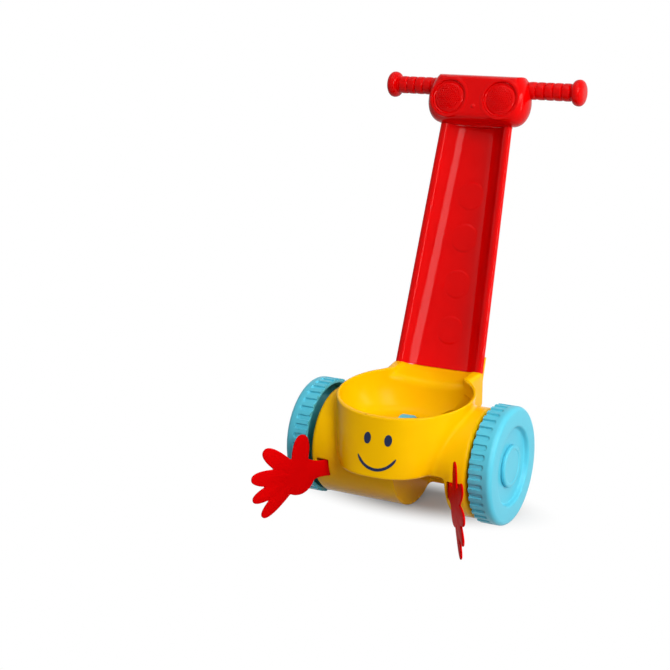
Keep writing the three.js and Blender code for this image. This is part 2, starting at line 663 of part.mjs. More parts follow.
/** The yellow body: drum, face panel, bowl, ball chute and slide receiver in one shell. */
function bodyShell() {
  const drumOut = solidOf(drum(DRUM_RADIUS, -DRUM_HALF_LENGTH, DRUM_HALF_LENGTH, DRUM_END_ROUND));
  const drumIn = solidOf(drum(
    DRUM_RADIUS - WALL, WALL - DRUM_HALF_LENGTH, DRUM_HALF_LENGTH - WALL, DRUM_END_ROUND,
  ));
  const tubOut = solidOf(tub(TUB_LOW, RIM_HEIGHT + RIM_SPARE, 0));
  const tubIn = solidOf(tub(TUB_LOW - PAST, RIM_HEIGHT, WALL));
  const dish = solidOf(bowl(WALL)).intersect(tubOut);

  const rimTool = block([-FAR, FAR], [-FAR, FAR], [0, FAR]).rotateX(RIM_TILT);
  const rimCut = solidOf(rimTool.translate(0, RIM_Y, RIM_HEIGHT));
  const upper = cut(tubOut, rimCut);

  const deep = DRUM_RADIUS + RIM_SPARE;
  const chuteWalls = join(
    solidOf(block([CHUTE_LEFT - WALL, CHUTE_LEFT], [-deep, deep], [-deep, BOWL_FLOOR])),
    solidOf(block([CHUTE_RIGHT, CHUTE_RIGHT + WALL], [-deep, deep], [-deep, CHUTE_WALL_TOP])),
    solidOf(block(
      [CHUTE_LEFT - WALL, CHUTE_RIGHT + WALL], [CHUTE_BACK, CHUTE_BACK + WALL], [-deep, CHUTE_WALL_TOP],
    )),
  ).intersect(join(drumOut, tubOut));
  const shelves = pinShelves().flatMap((shelf) => [shelf, mirrored(shelf)]).map(solidOf);
  const keep = join(dish, chuteWalls, ...shelves).intersect(join(drumOut, upper));
  const hollow = cut(join(drumIn, tubIn), keep);

  const chute = join(
    solidOf(block([CHUTE_LEFT, CHUTE_RIGHT], [-deep * 2, CHUTE_BACK], [-deep, TUB_LOW])),
    solidOf(rodZ(BALL_HOLE_RADIUS, TUB_LOW, BALL_HOLE_TOP, BALL_HOLE_X, BALL_HOLE_Y, ROUND_STEPS)),
  );
  const behindChute = solidOf(block(
    [CHUTE_LEFT, CHUTE_RIGHT], [CHUTE_BACK - PAST, deep], [-deep, CHUTE_BACK_FOOT],
  ));
  const kickerRoom = KICKER_WIDTH / 2 + KICKER_CLEARANCE;
  const kickerSlot = solidOf(rodX(
    KICKER_RADIUS + KICKER_CLEARANCE, KICKER_X - kickerRoom, KICKER_X + kickerRoom, 0, 0, ROUND_STEPS,
  ));
  const bores = join(
    solidOf(rodX(BUSH_RADIUS + FIT, -DRUM_HALF_LENGTH - PAST, WALL + PAST - DRUM_HALF_LENGTH)),
    solidOf(rodX(BUSH_RADIUS + FIT, CHUTE_LEFT - WALL - PAST, CHUTE_LEFT + PAST)),
    solidOf(rodX(AXLE_RADIUS + FIT, CHUTE_RIGHT - PAST, DRUM_HALF_LENGTH + PAST)),
  );
  const slot = block(
    [CHUTE_RIGHT + WALL, SLOT_OUTER_X], [-deep, PIN_Y], [WRIST_LOW - FIT, WRIST_HIGH + FIT],
  );
  const shelfReach = FIT + PIN_SHELF + PAST;
  const pinBore = rodZ(
    PIN_RADIUS + FIT, WRIST_LOW - shelfReach, WRIST_HIGH + shelfReach, PIN_X, PIN_Y, ROD_STEPS,
  );
  const handCuts = [slot, pinBore].flatMap((form) => [form, mirrored(form)]).map(solidOf);
  const coverHole = solidOf(block(
    [COVER_LEFT, COVER_RIGHT], [COVER_FRONT, COVER_REAR], [-deep, DRUM_Z - DRUM_RADIUS / 2],
  ));
  const screwHoles = join(...coverScrews(FIT), ...bracketScrews(FIT));

  const shellStart = join(drumOut, upper, receiver());
  const opened = cut(shellStart, hollow, solidOf(bowl(0)), solidOf(ramp()), chute, behindChute, kickerSlot);
  const ledgeZone = solidOf(block(
    [-DRUM_HALF_LENGTH, CHUTE_LEFT - WALL], [COVER_FRONT, COVER_REAR], [-deep, DRUM_Z - DRUM_RADIUS / 2],
  ));
  const ledgeOut = DRUM_RADIUS - WALL - FIT;
  const ledgeIn = ledgeOut - WALL;
  const rootLeft = [COVER_LEFT - LEDGE_WIDTH + WALL, COVER_LEFT];
  const rootRight = [COVER_RIGHT, CHUTE_LEFT - WALL / 2];
  const ledges = join(
    drumRing(ledgeIn, ledgeOut, rootLeft[0], COVER_LEFT + LEDGE_WIDTH),
    drumRing(ledgeIn, ledgeOut + WALL / 2, ...rootLeft),
    drumRing(ledgeIn, ledgeOut, COVER_RIGHT - LEDGE_WIDTH, rootRight[1]),
    drumRing(ledgeIn, ledgeOut + WALL / 2, ...rootRight),
  ).intersect(ledgeZone);
  const slideScrewHoles = slideScrews(FIT).map((hole) => solidOf(leaning(geometryOf(hole))));
  return cut(
    join(cut(opened, coverHole), ledges),
    bores, ...handCuts, screwHoles, ...slideScrewHoles,
  );
}

/** Screws through the collar into the slide's back, in the slide's frame, with spare room for holes. */
function slideScrews(spare) {
  const { radius, centre } = gutterArc(SLIDE_FOOT_HALF_WIDTH);
  return SLIDE_SCREW_TURNS.map((turn) => {
    const start = radius + WALL - SLIDE_SCREW_BITE - spare;
    const seat = radius + WALL + FIT + COLLAR_WALL;
    const shank = rodY(SCREW_RADIUS + spare, start, seat + SCREW_HEAD_HEIGHT / 2);
    const head = rodY(SCREW_HEAD_RADIUS + spare, seat - spare, seat + SCREW_HEAD_HEIGHT + spare * 4);
    const set = (form) => solidOf(form.rotateZ(-turn).translate(0, centre, COLLAR_RISE / 2));
    return set(shank).add(set(head));
  });
}

/** Cover that closes the drum's underside. */
function undersideCover() {
  const zone = solidOf(block(
    [COVER_LEFT + FIT, COVER_RIGHT - FIT],
    [COVER_FRONT + FIT, COVER_REAR - FIT],
    [-DRUM_RADIUS * 2, DRUM_Z - DRUM_RADIUS / 2],
  ));
  const plate = drumRing(DRUM_RADIUS - WALL, DRUM_RADIUS, COVER_LEFT, COVER_RIGHT).intersect(zone);
  return cut(plate, ...coverScrews(FIT));
}

/** A treaded wheel, open to its inner side; the right one. */
function wheel(bore) {
  const inner = WHEEL_INNER_X;
  const tyre = WHEEL_RADIUS - TREAD_DEPTH;
  const rim = tyre - WALL;
  const web = WHEEL_WEB_X - WALL;
  const shoulder = [];
  const steps = ARC_STEPS;
  for (let i = 0; i <= steps; i += 1) {
    const turn = (Math.PI / 2) * (i / steps);
    shoulder.push([
      WHEEL_RADIUS - SHOULDER_ROUND * (1 - Math.cos(turn)),
      WHEEL_OUTER_X - SHOULDER_ROUND * (1 - Math.sin(turn)),
    ]);
  }
  const treadEnd = inner + TREAD_WIDTH;
  const hubStart = inner + WHEEL_HUB_SETBACK;
  const profile = [
    [bore, hubStart], [WHEEL_HUB_RADIUS, hubStart], [WHEEL_HUB_RADIUS, web],
    [RECESS_RADIUS + WALL, web], [RECESS_RADIUS + WALL, WHEEL_OUTER_X - WALL],
    [rim - SHOULDER_ROUND, WHEEL_OUTER_X - WALL], [rim, WHEEL_OUTER_X - WALL - SHOULDER_ROUND],
    [rim, inner], [tyre, inner], [tyre, treadEnd], [WHEEL_RADIUS, treadEnd + TREAD_DEPTH / 2],
    ...shoulder,
    [RECESS_RADIUS + RECESS_DRAFT, WHEEL_OUTER_X], [RECESS_RADIUS, WHEEL_WEB_X],
    [bore, WHEEL_WEB_X], [bore, hubStart],
  ];
  const hoop = new THREE.Shape();
  const pitch = (2 * Math.PI) / TREAD_LUGS;
  const base = tyre - LUG_ROOT;
  const [footStart, topStart, topEnd, footEnd] = LUG_SHARES;
  const corners = [
    [base, 0], [base, footStart], [WHEEL_RADIUS, topStart], [WHEEL_RADIUS, topEnd], [base, footEnd],
  ];
  for (let i = 0; i < TREAD_LUGS; i += 1) {
    const start = i * pitch;
    for (const [radius, share] of corners) {
      const turn = start + pitch * share;
      const [a, b] = [radius * Math.cos(turn), radius * Math.sin(turn)];
      if (i === 0 && share === 0) hoop.moveTo(a, b);
      else hoop.lineTo(a, b);
    }
  }
  const bite = new THREE.Path();
  bite.absarc(0, 0, rim + WALL / 2, 0, 2 * Math.PI, true);
  hoop.holes.push(bite);
  const lugs = new THREE.ExtrudeGeometry(hoop, {
    depth: TREAD_WIDTH + TREAD_DEPTH / 4, bevelEnabled: false, curveSegments: TREAD_LUGS / 4,
  }).rotateY(Math.PI / 2).translate(inner + LUG_SETBACK, 0, 0);
  return { body: turnedX(profile), lugs };
}

/** A hub cap on the wheel's web, over the axle's end. */
function hubCap() {
  const seat = WHEEL_WEB_X + FIT;
  const top = seat + HUB_CAP_HEIGHT;
  const pocketRadius = AXLE_RADIUS + FIT;
  const pocketEnd = AXLE_END_X + AXLE_END_ROOM;
  return turnedX([
    [0, pocketEnd], [pocketRadius, pocketEnd], [pocketRadius, seat], [HUB_CAP_RADIUS, seat],
    [HUB_CAP_RADIUS, top - HUB_CAP_EDGE], [HUB_CAP_RADIUS - HUB_CAP_EDGE, top], [0, top],
  ], CAP_STEPS);
}

/** A flanged bush about the main axis, its flange on the low-x side. */
function bush(x0, x1) {
  const bore = AXLE_RADIUS + FIT;
  const lip = BUSH_RADIUS + BUSH_FLANGE;
  return turnedX([
    [bore, x0 - BUSH_FLANGE_THICK], [lip, x0 - BUSH_FLANGE_THICK], [lip, x0], [BUSH_RADIUS, x0],
    [BUSH_RADIUS, x1], [bore, x1], [bore, x0 - BUSH_FLANGE_THICK],
  ], ROD_STEPS);
}

/** The lobed kicker. */
function kicker() {
  const outline = new THREE.Shape();
  const edge = KICKER_EDGE;
  for (let i = 0; i < ROUND_STEPS; i += 1) {
    const turn = (2 * Math.PI * i) / ROUND_STEPS;
    const swell = 1 - KICKER_SWELL * (1 - Math.cos(KICKER_LOBES * (turn - Math.PI / 2))) / 2;
    const reach = (KICKER_RADIUS - edge) * swell;
    if (i === 0) outline.moveTo(reach * Math.cos(turn), reach * Math.sin(turn));
    else outline.lineTo(reach * Math.cos(turn), reach * Math.sin(turn));
  }
  const form = new THREE.ExtrudeGeometry(outline, {
    depth: KICKER_WIDTH - 2 * edge,
    bevelEnabled: true,
    bevelSize: edge,
    bevelThickness: edge,
    bevelSegments: 1,
  });
  // the outline's height stays up when its depth is turned to X
  form.translate(0, 0, edge - KICKER_WIDTH / 2);
  form.rotateX(Math.PI / 2).rotateZ(Math.PI / 2).translate(KICKER_X, 0, 0);
  const bore = rodX(AXLE_RADIUS + FIT, KICKER_X - KICKER_WIDTH, KICKER_X + KICKER_WIDTH);
  return cut(solidOf(form), solidOf(bore));
}

/** A flat oval in the hand's plane. */
function oval(along, up, halfLength, halfWidth, turn) {
  const [c, s] = [Math.cos(turn), Math.sin(turn)];
  const power = 2 / FINGER_FULLNESS;
  const points = [];
  for (let i = 0; i < FINGER_STEPS; i += 1) {
    const angle = (2 * Math.PI * i) / FINGER_STEPS;
    const x = halfLength * Math.sign(Math.cos(angle)) * Math.abs(Math.cos(angle)) ** power;
    const y = halfWidth * Math.sign(Math.sin(angle)) * Math.abs(Math.sin(angle)) ** power;
    points.push(new THREE.Vector2(along + x * c - y * s, up + x * s + y * c));
  }
  return new THREE.Shape(points);
}

/** The right hand with its wrist, neck and pin barrel. */
function hand() {
  const plate = (shape, thick) => new THREE.ExtrudeGeometry(shape, {
    depth: thick, bevelEnabled: false,
  }).translate(0, 0, -thick / 2);
  const ovals = FINGERS.map(({ angle, reach, half, wide }) => {
    const turn = THREE.MathUtils.degToRad(angle);
    const middle = (reach - half) * HAND_REACH;
    const [along, up] = [PALM_ALONG + middle * Math.cos(turn), PALM_UP + middle * Math.sin(turn)];
    return oval(along, up, half * HAND_REACH, wide * HAND_REACH, turn);
  });
  ovals.push(oval(PALM_ALONG, PALM_UP, PALM_HALF_LENGTH, PALM_HALF_HEIGHT, 0));
  const wrist = new THREE.Shape();
  wrist.moveTo(0, WRIST_LOW);
  wrist.lineTo(WRIST_PLAIN, WRIST_LOW);
  wrist.lineTo(WRIST_LENGTH, WRIST_LOW - WRIST_FLARE);
  wrist.lineTo(WRIST_LENGTH, WRIST_HIGH + WRIST_FLARE);
  wrist.lineTo(WRIST_PLAIN, WRIST_HIGH);
  wrist.lineTo(0, WRIST_HIGH);
  wrist.closePath();
  const forward = new THREE.Vector3(Math.sin(HAND_SPREAD), -Math.cos(HAND_SPREAD), 0);
  const up = new THREE.Vector3(0, 0, 1);
  const place = new THREE.Matrix4().makeBasis(forward, up, forward.clone().cross(up));
  place.setPosition(HAND_ROOT_X, HAND_ROOT_Y, 0);
  const flat = [...ovals, wrist].map((shape) => solidOf(plate(shape, HAND_THICK).applyMatrix4(place)));
  const neckSides = [HAND_ROOT_X - HAND_THICK / 2, PIN_X + HAND_THICK / 2];
  const neck = block(neckSides, [HAND_ROOT_Y - PAST, PIN_Y], [WRIST_LOW, WRIST_HIGH]);
  const barrel = rodZ(BARREL_RADIUS, WRIST_LOW, WRIST_HIGH, PIN_X, PIN_Y, ROD_STEPS);
  const bore = rodZ(PIN_RADIUS + FIT, WRIST_LOW - PAST, WRIST_HIGH + PAST, PIN_X, PIN_Y, ROD_STEPS);
  return cut(join(...flat, solidOf(neck), solidOf(barrel)), solidOf(bore));
}

/** The head's outline in the slide's frame, drawn in at its sides and foot, and at its top. */
function headOutline(across, above) {
  const low = HEAD_LOW + across;
  const top = HEAD_LOW + HEAD_HEIGHT - above;
  const wide = HEAD_HALF_WIDTH - across;
  const widest = HEAD_LOW + HEAD_HEIGHT * HEAD_WIDEST_SHARE;
  const half = [
    [HEAD_LOW_HALF_WIDTH - across, low],
    [wide * HEAD_CORNER_SHARE, low],
    [wide, lerp(low, widest, HEAD_LOW_SWELL)],
    [wide, widest],
    [wide, lerp(widest, top, HEAD_TOP_SWELL)],
    [wide * HEAD_CORNER_SHARE, lerp(widest, top, HEAD_CORNER_SHARE)],
    [HEAD_TOP_HALF_WIDTH - across, top],
  ].map(([x, z]) => new THREE.Vector2(x, z));
  const lower = new THREE.CubicBezierCurve(...half.slice(0, 4)).getPoints(HEAD_STEPS);
  const upper = new THREE.CubicBezierCurve(...half.slice(3)).getPoints(HEAD_STEPS).slice(1);
  const right = [...lower, ...upper];
  const left = right.map((point) => new THREE.Vector2(-point.x, point.y)).reverse();
  return [...right, ...left];
}

/** How far the head draws in at a depth from its front, with its crest at a given depth. */
function headDraw(depth, length, crest) {
  const [reach, draw] = depth < crest ? [crest, HEAD_FRONT_DRAW] : [length - crest, HEAD_REAR_DRAW];
  return draw * (1 - Math.sqrt(Math.max(0, 1 - ((depth - crest) / reach) ** 2)));
}

/** The head's form drawn in by an inset, widest at its side crest and tallest at its top crest. */
function headForm(inset) {
  const length = HEAD_DEPTH - 2 * inset;
  const rings = HEAD_STATIONS.map((share) => {
    const depth = share * length;
    const across = inset + headDraw(depth, length, HEAD_SIDE_CREST - inset);
    const above = inset + headDraw(depth, length, HEAD_TOP_CREST - inset);
    const y = HEAD_FRONT + inset + depth;
    return headOutline(across, above).map((point) => new THREE.Vector3(point.x, y, point.y));
  });
  return loft(rings, (point) => new THREE.Vector2(point.x, point.z));
}

/** Both halves of the head, in the slide's frame. */
function headHalves() {
  const whole = solidOf(headForm(0));
  const bosses = HEAD_SCREW_PLACES.map(([x, rise]) => solidOf(rodY(
    BOSS_RADIUS, HEAD_FRONT + PAST, HEAD_BACK - PAST, x, HEAD_LOW + rise,
  )));
  const socket = solidOf(block(
    [-SOCKET_HALF_WIDTH, SOCKET_HALF_WIDTH], [SOCKET_FRONT, SOCKET_BACK], [HEAD_LOW, HEAD_LOW + SOCKET_HEIGHT],
  ));
  const shell = join(cut(whole, solidOf(headForm(WALL))), join(...bosses).intersect(whole), socket);
  const holes = HEAD_SCREW_PLACES.map(([x, rise]) => screwHoleY(
    HEAD_SCREW_TIP, HEAD_SCREW_SEAT, HEAD_BACK + PAST, x, HEAD_LOW + rise,
  ));
  const barBore = solidOf(rodX(BAR_RADIUS + FIT, -FAR, FAR, BAR_BACK, BAR_Z));
  const gripRoom = rodX(GRIP_RADIUS + FIT, GRIP_START - FIT, FAR, BAR_BACK, BAR_Z, GRIP_STEPS);
  const pocket = solidOf(block(
    [-TONGUE_HALF_WIDTH - FIT, TONGUE_HALF_WIDTH + FIT],
    [GUTTER_DEPTH - FIT, GUTTER_DEPTH + TONGUE_THICK + FIT],
    [HEAD_LOW - PAST, HEAD_LOW + TONGUE_LENGTH],
  ));
  const wallBack = HEAD_FRONT + WALL;
  const grilleHoles = [-GRILLE_X, GRILLE_X].map((x) => solidOf(rodY(
    GRILLE_RADIUS + FIT, HEAD_FRONT - PAST, wallBack + PAST, x, HEAD_LOW + GRILLE_HEIGHT, CAP_STEPS,
  )));
  const grilleRoom = [-GRILLE_X, GRILLE_X].map((x) => solidOf(rodY(
    GRILLE_RADIUS + GRILLE_FLANGE + FIT, wallBack, wallBack + GRILLE_FLANGE_THICK + 2 * FIT,
    x, HEAD_LOW + GRILLE_HEIGHT, CAP_STEPS,
  )));
  const gripRooms = [gripRoom, mirrored(gripRoom)].map(solidOf);
  const open = cut(shell, ...holes, barBore, ...gripRooms, pocket, ...grilleHoles, ...grilleRoom);
  const high = [HEAD_LOW - FAR, HEAD_LOW + FAR];
  const frontZone = solidOf(block([-FAR, FAR], [-FAR, BAR_BACK - FIT / 2], high));
  const rearZone = solidOf(block([-FAR, FAR], [BAR_BACK + FIT / 2, FAR], high));
  return [open.intersect(frontZone), open.intersect(rearZone)];
}

/** A dished grille disc with a flange behind the head's wall. */
function grille(x) {
  const face = HEAD_FRONT + GRILLE_SETBACK;
  const seat = HEAD_FRONT + WALL + FIT;
  const back = seat + GRILLE_FLANGE_THICK;
  const flange = GRILLE_RADIUS + GRILLE_FLANGE;
  const [bendRadius, bendDepth] = GRILLE_BEND;
  const profile = [
    [0, face + GRILLE_DISH],
    [GRILLE_RADIUS * bendRadius, face + GRILLE_DISH * bendDepth],
    [GRILLE_RADIUS - GRILLE_EDGE, face],
    [GRILLE_RADIUS, face + GRILLE_SETBACK],
    [GRILLE_RADIUS, seat],
    [flange, seat],
    [flange, back],
    [0, back],
  ];
  return turnedX(profile, CAP_STEPS).rotateZ(Math.PI / 2).translate(x, 0, HEAD_LOW + GRILLE_HEIGHT);
}

/** A ribbed grip sleeve on the right end of the bar. */
function grip() {
  const end = BAR_HALF_LENGTH - KNOB_LENGTH - FIT;
  const bore = BAR_RADIUS + FIT;
  const pitch = (end - GRIP_START) / (GRIP_RIBS + 0.5);
  const [crestStart, crestEnd, groove] = GRIP_RIB_SHARES;
  const profile = [[bore, GRIP_START], [GRIP_RADIUS - GRIP_GROOVE / 2, GRIP_START]];
  for (let i = 0; i < GRIP_RIBS; i += 1) {
    const start = GRIP_START + pitch * (i + 0.5);
    profile.push([GRIP_RADIUS, start + pitch * crestStart]);
    profile.push([GRIP_RADIUS, start + pitch * crestEnd]);
    profile.push([GRIP_RADIUS - GRIP_GROOVE, start + pitch * groove]);
  }
  profile.push([GRIP_RADIUS, end], [bore, end], [bore, GRIP_START]);
  return turnedX(profile, GRIP_STEPS).translate(0, BAR_BACK, BAR_Z);
}

/** A mushroom knob that plugs into the bar's right end. */
function endKnob() {
  const start = BAR_HALF_LENGTH - KNOB_LENGTH;
  const plug = BAR_RADIUS - BAR_WALL - FIT;
  const profile = [[0, start - KNOB_PLUG_LENGTH], [plug, start - KNOB_PLUG_LENGTH], [plug, start]];
  const swell = KNOB_RADIUS - KNOB_NECK_RADIUS;
  for (let i = 0; i < KNOB_STEPS; i += 1) {
    const turn = Math.PI * (i / KNOB_STEPS);
    const reach = KNOB_NECK_RADIUS + swell * Math.sin(turn) ** KNOB_FULLNESS;
    profile.push([reach, start + KNOB_LENGTH * (1 - Math.cos(turn)) / 2]);
  }
  profile.push([0, start + KNOB_LENGTH]);
  return turnedX(profile, GRIP_STEPS).translate(0, BAR_BACK, BAR_Z);
}

/** The yoke behind the drum that carries the rear wheels. */
function rearBracket() {
  const outside = solidOf(block(
    [-BRACKET_HALF_WIDTH, BRACKET_HALF_WIDTH], [BRACKET_NEAR, BRACKET_BACK], [BRACKET_LOW, BRACKET_TOP],
  ));
  const inside = solidOf(block(
    [BRACKET_WALL - BRACKET_HALF_WIDTH, BRACKET_HALF_WIDTH - BRACKET_WALL],
    [BRACKET_NEAR - PAST, BRACKET_BACK - BRACKET_WALL],
    [BRACKET_LOW - PAST, BRACKET_TOP - BRACKET_WALL],
  ));
  const long = [-FAR, FAR];
  const drumRoom = solidOf(rodX(DRUM_RADIUS + FIT, ...long, 0, DRUM_Z, ROUND_STEPS));
  const pad = solidOf(rodX(DRUM_RADIUS + FIT + BRACKET_WALL, ...long, 0, DRUM_Z, ROUND_STEPS));
  const coverRoom = solidOf(block(
    long,
    [BRACKET_NEAR - PAST, COVER_REAR + BRACKET_COVER_GAP],
    [BRACKET_LOW - PAST, DRUM_Z - DRUM_RADIUS / 2],
  ));
  const bore = solidOf(rodX(REAR_AXLE_RADIUS + FIT, ...long, REAR_AXLE_Y, REAR_AXLE_Z));
  return cut(outside, drumRoom, cut(inside, pad), coverRoom, bore, ...bracketScrews(FIT));
}

/** A small rear wheel on the right. */
function rearWheel() {
  const [x0, x1] = [REAR_WHEEL_X, REAR_WHEEL_X + REAR_WHEEL_WIDTH];
  const bore = REAR_AXLE_RADIUS + FIT;
  const edge = REAR_WHEEL_EDGE;
  return turnedX([
    [bore, x0], [REAR_WHEEL_RADIUS - edge, x0], [REAR_WHEEL_RADIUS, x0 + edge],
    [REAR_WHEEL_RADIUS, x1 - edge], [REAR_WHEEL_RADIUS - edge, x1], [REAR_WHEEL_RADIUS - WALL - edge, x1],
    [REAR_WHEEL_RADIUS - WALL - edge, x0 + WALL], [REAR_HUB_RADIUS, x0 + WALL], [REAR_HUB_RADIUS, x1],
    [bore, x1], [bore, x0],
  ], CAP_STEPS).translate(0, REAR_AXLE_Y, REAR_AXLE_Z);
}

/** A push-on cap at the rear axle's right end. */
function rearCap() {
  const start = REAR_WHEEL_X + REAR_WHEEL_WIDTH + FIT;
  const bore = REAR_AXLE_RADIUS + FIT;
  const end = start + REAR_CAP_LENGTH;
  const pocket = end - REAR_CAP_WALL;
  return turnedX([
    [0, pocket], [bore, pocket], [bore, start], [REAR_CAP_RADIUS, start],
    [REAR_CAP_RADIUS, end - REAR_CAP_EDGE], [REAR_CAP_RADIUS - REAR_CAP_EDGE, end], [0, end],
  ], ROD_STEPS).translate(0, REAR_AXLE_Y, REAR_AXLE_Z);
}

/** The slide with the tongue that enters the head. */
function slide() {
  const gutter = solidOf(loft([
    atHeight(slideSection(SLIDE_FOOT_HALF_WIDTH), 0),
    atHeight(slideSection(SLIDE_TOP_HALF_WIDTH), SLIDE_LENGTH),
  ]));
  const tongue = solidOf(block(
    [-TONGUE_HALF_WIDTH, TONGUE_HALF_WIDTH],
    [GUTTER_DEPTH, GUTTER_DEPTH + TONGUE_THICK],
    [SLIDE_LENGTH - TONGUE_LENGTH, SLIDE_LENGTH + TONGUE_LENGTH],
  ));
  const { radius, centre } = gutterArc(SLIDE_TOP_HALF_WIDTH);
  const hollow = solidOf(rodZ(
    radius, SLIDE_LENGTH - TONGUE_LENGTH - PAST, SLIDE_LENGTH, 0, centre, ROUND_STEPS,
  ));
  return cut(gutter.add(cut(tongue, hollow)), ...slideScrews(FIT));
}

const walker = new THREE.Group();
walker.name = 'ball_push_walker';
const chassis = new THREE.Group();
chassis.name = 'chassis';
walker.add(chassis);

const rightWheel = wheel(BUSH_RADIUS + FIT);
const leftWheel = wheel(AXLE_RADIUS + FIT);
const rearAxleEnd = REAR_WHEEL_X + REAR_WHEEL_WIDTH + REAR_CAP_LENGTH - REAR_CAP_WALL;
const rearAxle = rodX(REAR_AXLE_RADIUS, -rearAxleEnd, rearAxleEnd, REAR_AXLE_Y, REAR_AXLE_Z);
const pinEnds = [WRIST_LOW - FIT - PIN_SHELF, WRIST_HIGH + FIT + PIN_SHELF];
const pin = rodZ(PIN_RADIUS, ...pinEnds, PIN_X, PIN_Y, ROD_STEPS);
const rightHand = hand();

chassis.add(
  piece('body_shell', bodyShell(), YELLOW),
  piece('underside_cover', undersideCover(), YELLOW),
  ...numbered('cover_screw', coverScrews(0)),
  piece('left_wheel', solidOf(mirrored(leftWheel.body)).add(solidOf(mirrored(leftWheel.lugs))), BLUE),
  piece('right_wheel', solidOf(rightWheel.body).add(solidOf(rightWheel.lugs)), BLUE),
  piece('left_hub_cap', solidOf(mirrored(hubCap())), BLUE),
  piece('right_hub_cap', solidOf(hubCap()), BLUE),
  piece('drive_axle', solidOf(rodX(AXLE_RADIUS, -AXLE_END_X, CHUTE_LEFT - FIT)), STEEL),
  piece('stub_axle', solidOf(rodX(AXLE_RADIUS, CHUTE_RIGHT + FIT, AXLE_END_X)), STEEL),
  piece('outer_axle_bush', solidOf(bush(-DRUM_HALF_LENGTH - FIT, WALL - DRUM_HALF_LENGTH)), NATURAL),
  piece('inner_axle_bush', solidOf(bush(CHUTE_LEFT - WALL - FIT, CHUTE_LEFT)), NATURAL),
  piece('right_wheel_bush', solidOf(bush(WHEEL_INNER_X + WHEEL_HUB_SETBACK - FIT, WHEEL_WEB_X)), NATURAL),
  piece('kicker', kicker(), BLUE),
  piece('right_hand', rightHand, RED),
  piece('left_hand', solidOf(mirrored(geometryOf(rightHand))), RED),
  piece('right_hand_pin', solidOf(pin), STEEL),
  piece('left_hand_pin', solidOf(mirrored(pin)), STEEL),
  piece('rear_bracket', rearBracket(), YELLOW),
  ...numbered('bracket_screw', bracketScrews(0)),
  piece('rear_axle', solidOf(rearAxle), STEEL),
  piece('rear_right_wheel', solidOf(rearWheel()), BLUE),
  piece('rear_left_wheel', solidOf(mirrored(rearWheel())), BLUE),
  piece('rear_right_cap', solidOf(rearCap()), STEEL),
  piece('rear_left_cap', solidOf(mirrored(rearCap())), STEEL),
);

const handle = new THREE.Group();
handle.name = 'handle';
handle.applyMatrix4(HANDLE);
chassis.add(handle);

const [headFront, headRear] = headHalves();
const tubeEnd = BAR_HALF_LENGTH - KNOB_LENGTH - FIT;
const tube = cut(
  solidOf(rodX(BAR_RADIUS, -tubeEnd, tubeEnd, BAR_BACK, BAR_Z)),
  solidOf(rodX(BAR_RADIUS - BAR_WALL, -tubeEnd - PAST, tubeEnd + PAST, BAR_BACK, BAR_Z)),
);
const headScrews = HEAD_SCREW_PLACES.map(([x, rise]) => screwY(
  HEAD_SCREW_TIP, HEAD_SCREW_SEAT, x, HEAD_LOW + rise,
));
handle.add(
  piece('slide', slide(), RED),
  piece('head_front', headFront, RED),
  piece('head_rear', headRear, RED),
  piece('left_grille', solidOf(grille(-GRILLE_X)), RED),
  piece('right_grille', solidOf(grille(GRILLE_X)), RED),
  ...numbered('slide_screw', slideScrews(0)),
  ...numbered('head_screw', headScrews),
  piece('handlebar_tube', tube, STEEL),
  piece('right_grip', solidOf(grip()), RED),
  piece('left_grip', solidOf(mirrored(grip())), RED),
  piece('right_end_knob', solidOf(endKnob()), RED),
  piece('left_end_knob', solidOf(mirrored(endKnob())), RED),
);

walker.updateMatrixWorld(true);
const box = new THREE.Box3().setFromObject(walker, true);
chassis.position.set(0, -(box.min.y + box.max.y) / 2, WHEEL_RADIUS);

export default walker;
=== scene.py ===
"""Looks of a ball collecting push walker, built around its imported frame.

Sizes are in millimetres from the main axle's centre, as the walker is drawn, and are set into
the row frame in metres when a piece is made. The handle's pieces are drawn in the slide's own
leaning frame, with z along the slide and y towards its back.
"""

import logging
import math
from collections.abc import Callable, Sequence
from dataclasses import dataclass, field
from enum import Enum

import bpy
import numpy as np
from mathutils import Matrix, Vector


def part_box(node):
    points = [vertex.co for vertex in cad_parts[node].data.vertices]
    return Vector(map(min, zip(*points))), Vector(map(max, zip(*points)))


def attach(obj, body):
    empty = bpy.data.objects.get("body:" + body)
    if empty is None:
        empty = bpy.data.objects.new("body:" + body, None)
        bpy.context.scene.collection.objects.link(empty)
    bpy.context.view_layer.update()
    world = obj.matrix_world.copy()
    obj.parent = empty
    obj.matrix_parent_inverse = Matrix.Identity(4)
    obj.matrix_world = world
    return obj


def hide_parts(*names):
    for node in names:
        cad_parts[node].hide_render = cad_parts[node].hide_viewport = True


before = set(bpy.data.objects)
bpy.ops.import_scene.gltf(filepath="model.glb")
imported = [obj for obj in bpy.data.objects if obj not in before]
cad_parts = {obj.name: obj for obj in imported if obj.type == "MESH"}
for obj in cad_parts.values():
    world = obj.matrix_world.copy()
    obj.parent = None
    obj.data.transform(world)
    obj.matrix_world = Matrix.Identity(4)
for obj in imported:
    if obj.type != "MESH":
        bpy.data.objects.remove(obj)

LOG = logging.getLogger("walker")
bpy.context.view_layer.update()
MILLIMETRE = 0.001
FAR = 300.0

Field = Callable[[np.ndarray], np.ndarray]
Profile = Sequence[tuple[float, float]]
Reach = Callable[[np.ndarray, int], np.ndarray]


class Body(Enum):
    """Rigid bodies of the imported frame."""

    CHASSIS = "chassis"
    DRIVE = "drive"
    FREE_WHEEL = "free_wheel"
    REAR_LEFT = "rear_left_wheel"
    REAR_RIGHT = "rear_right_wheel"
    LEFT_HAND = "left_hand"
    RIGHT_HAND = "right_hand"


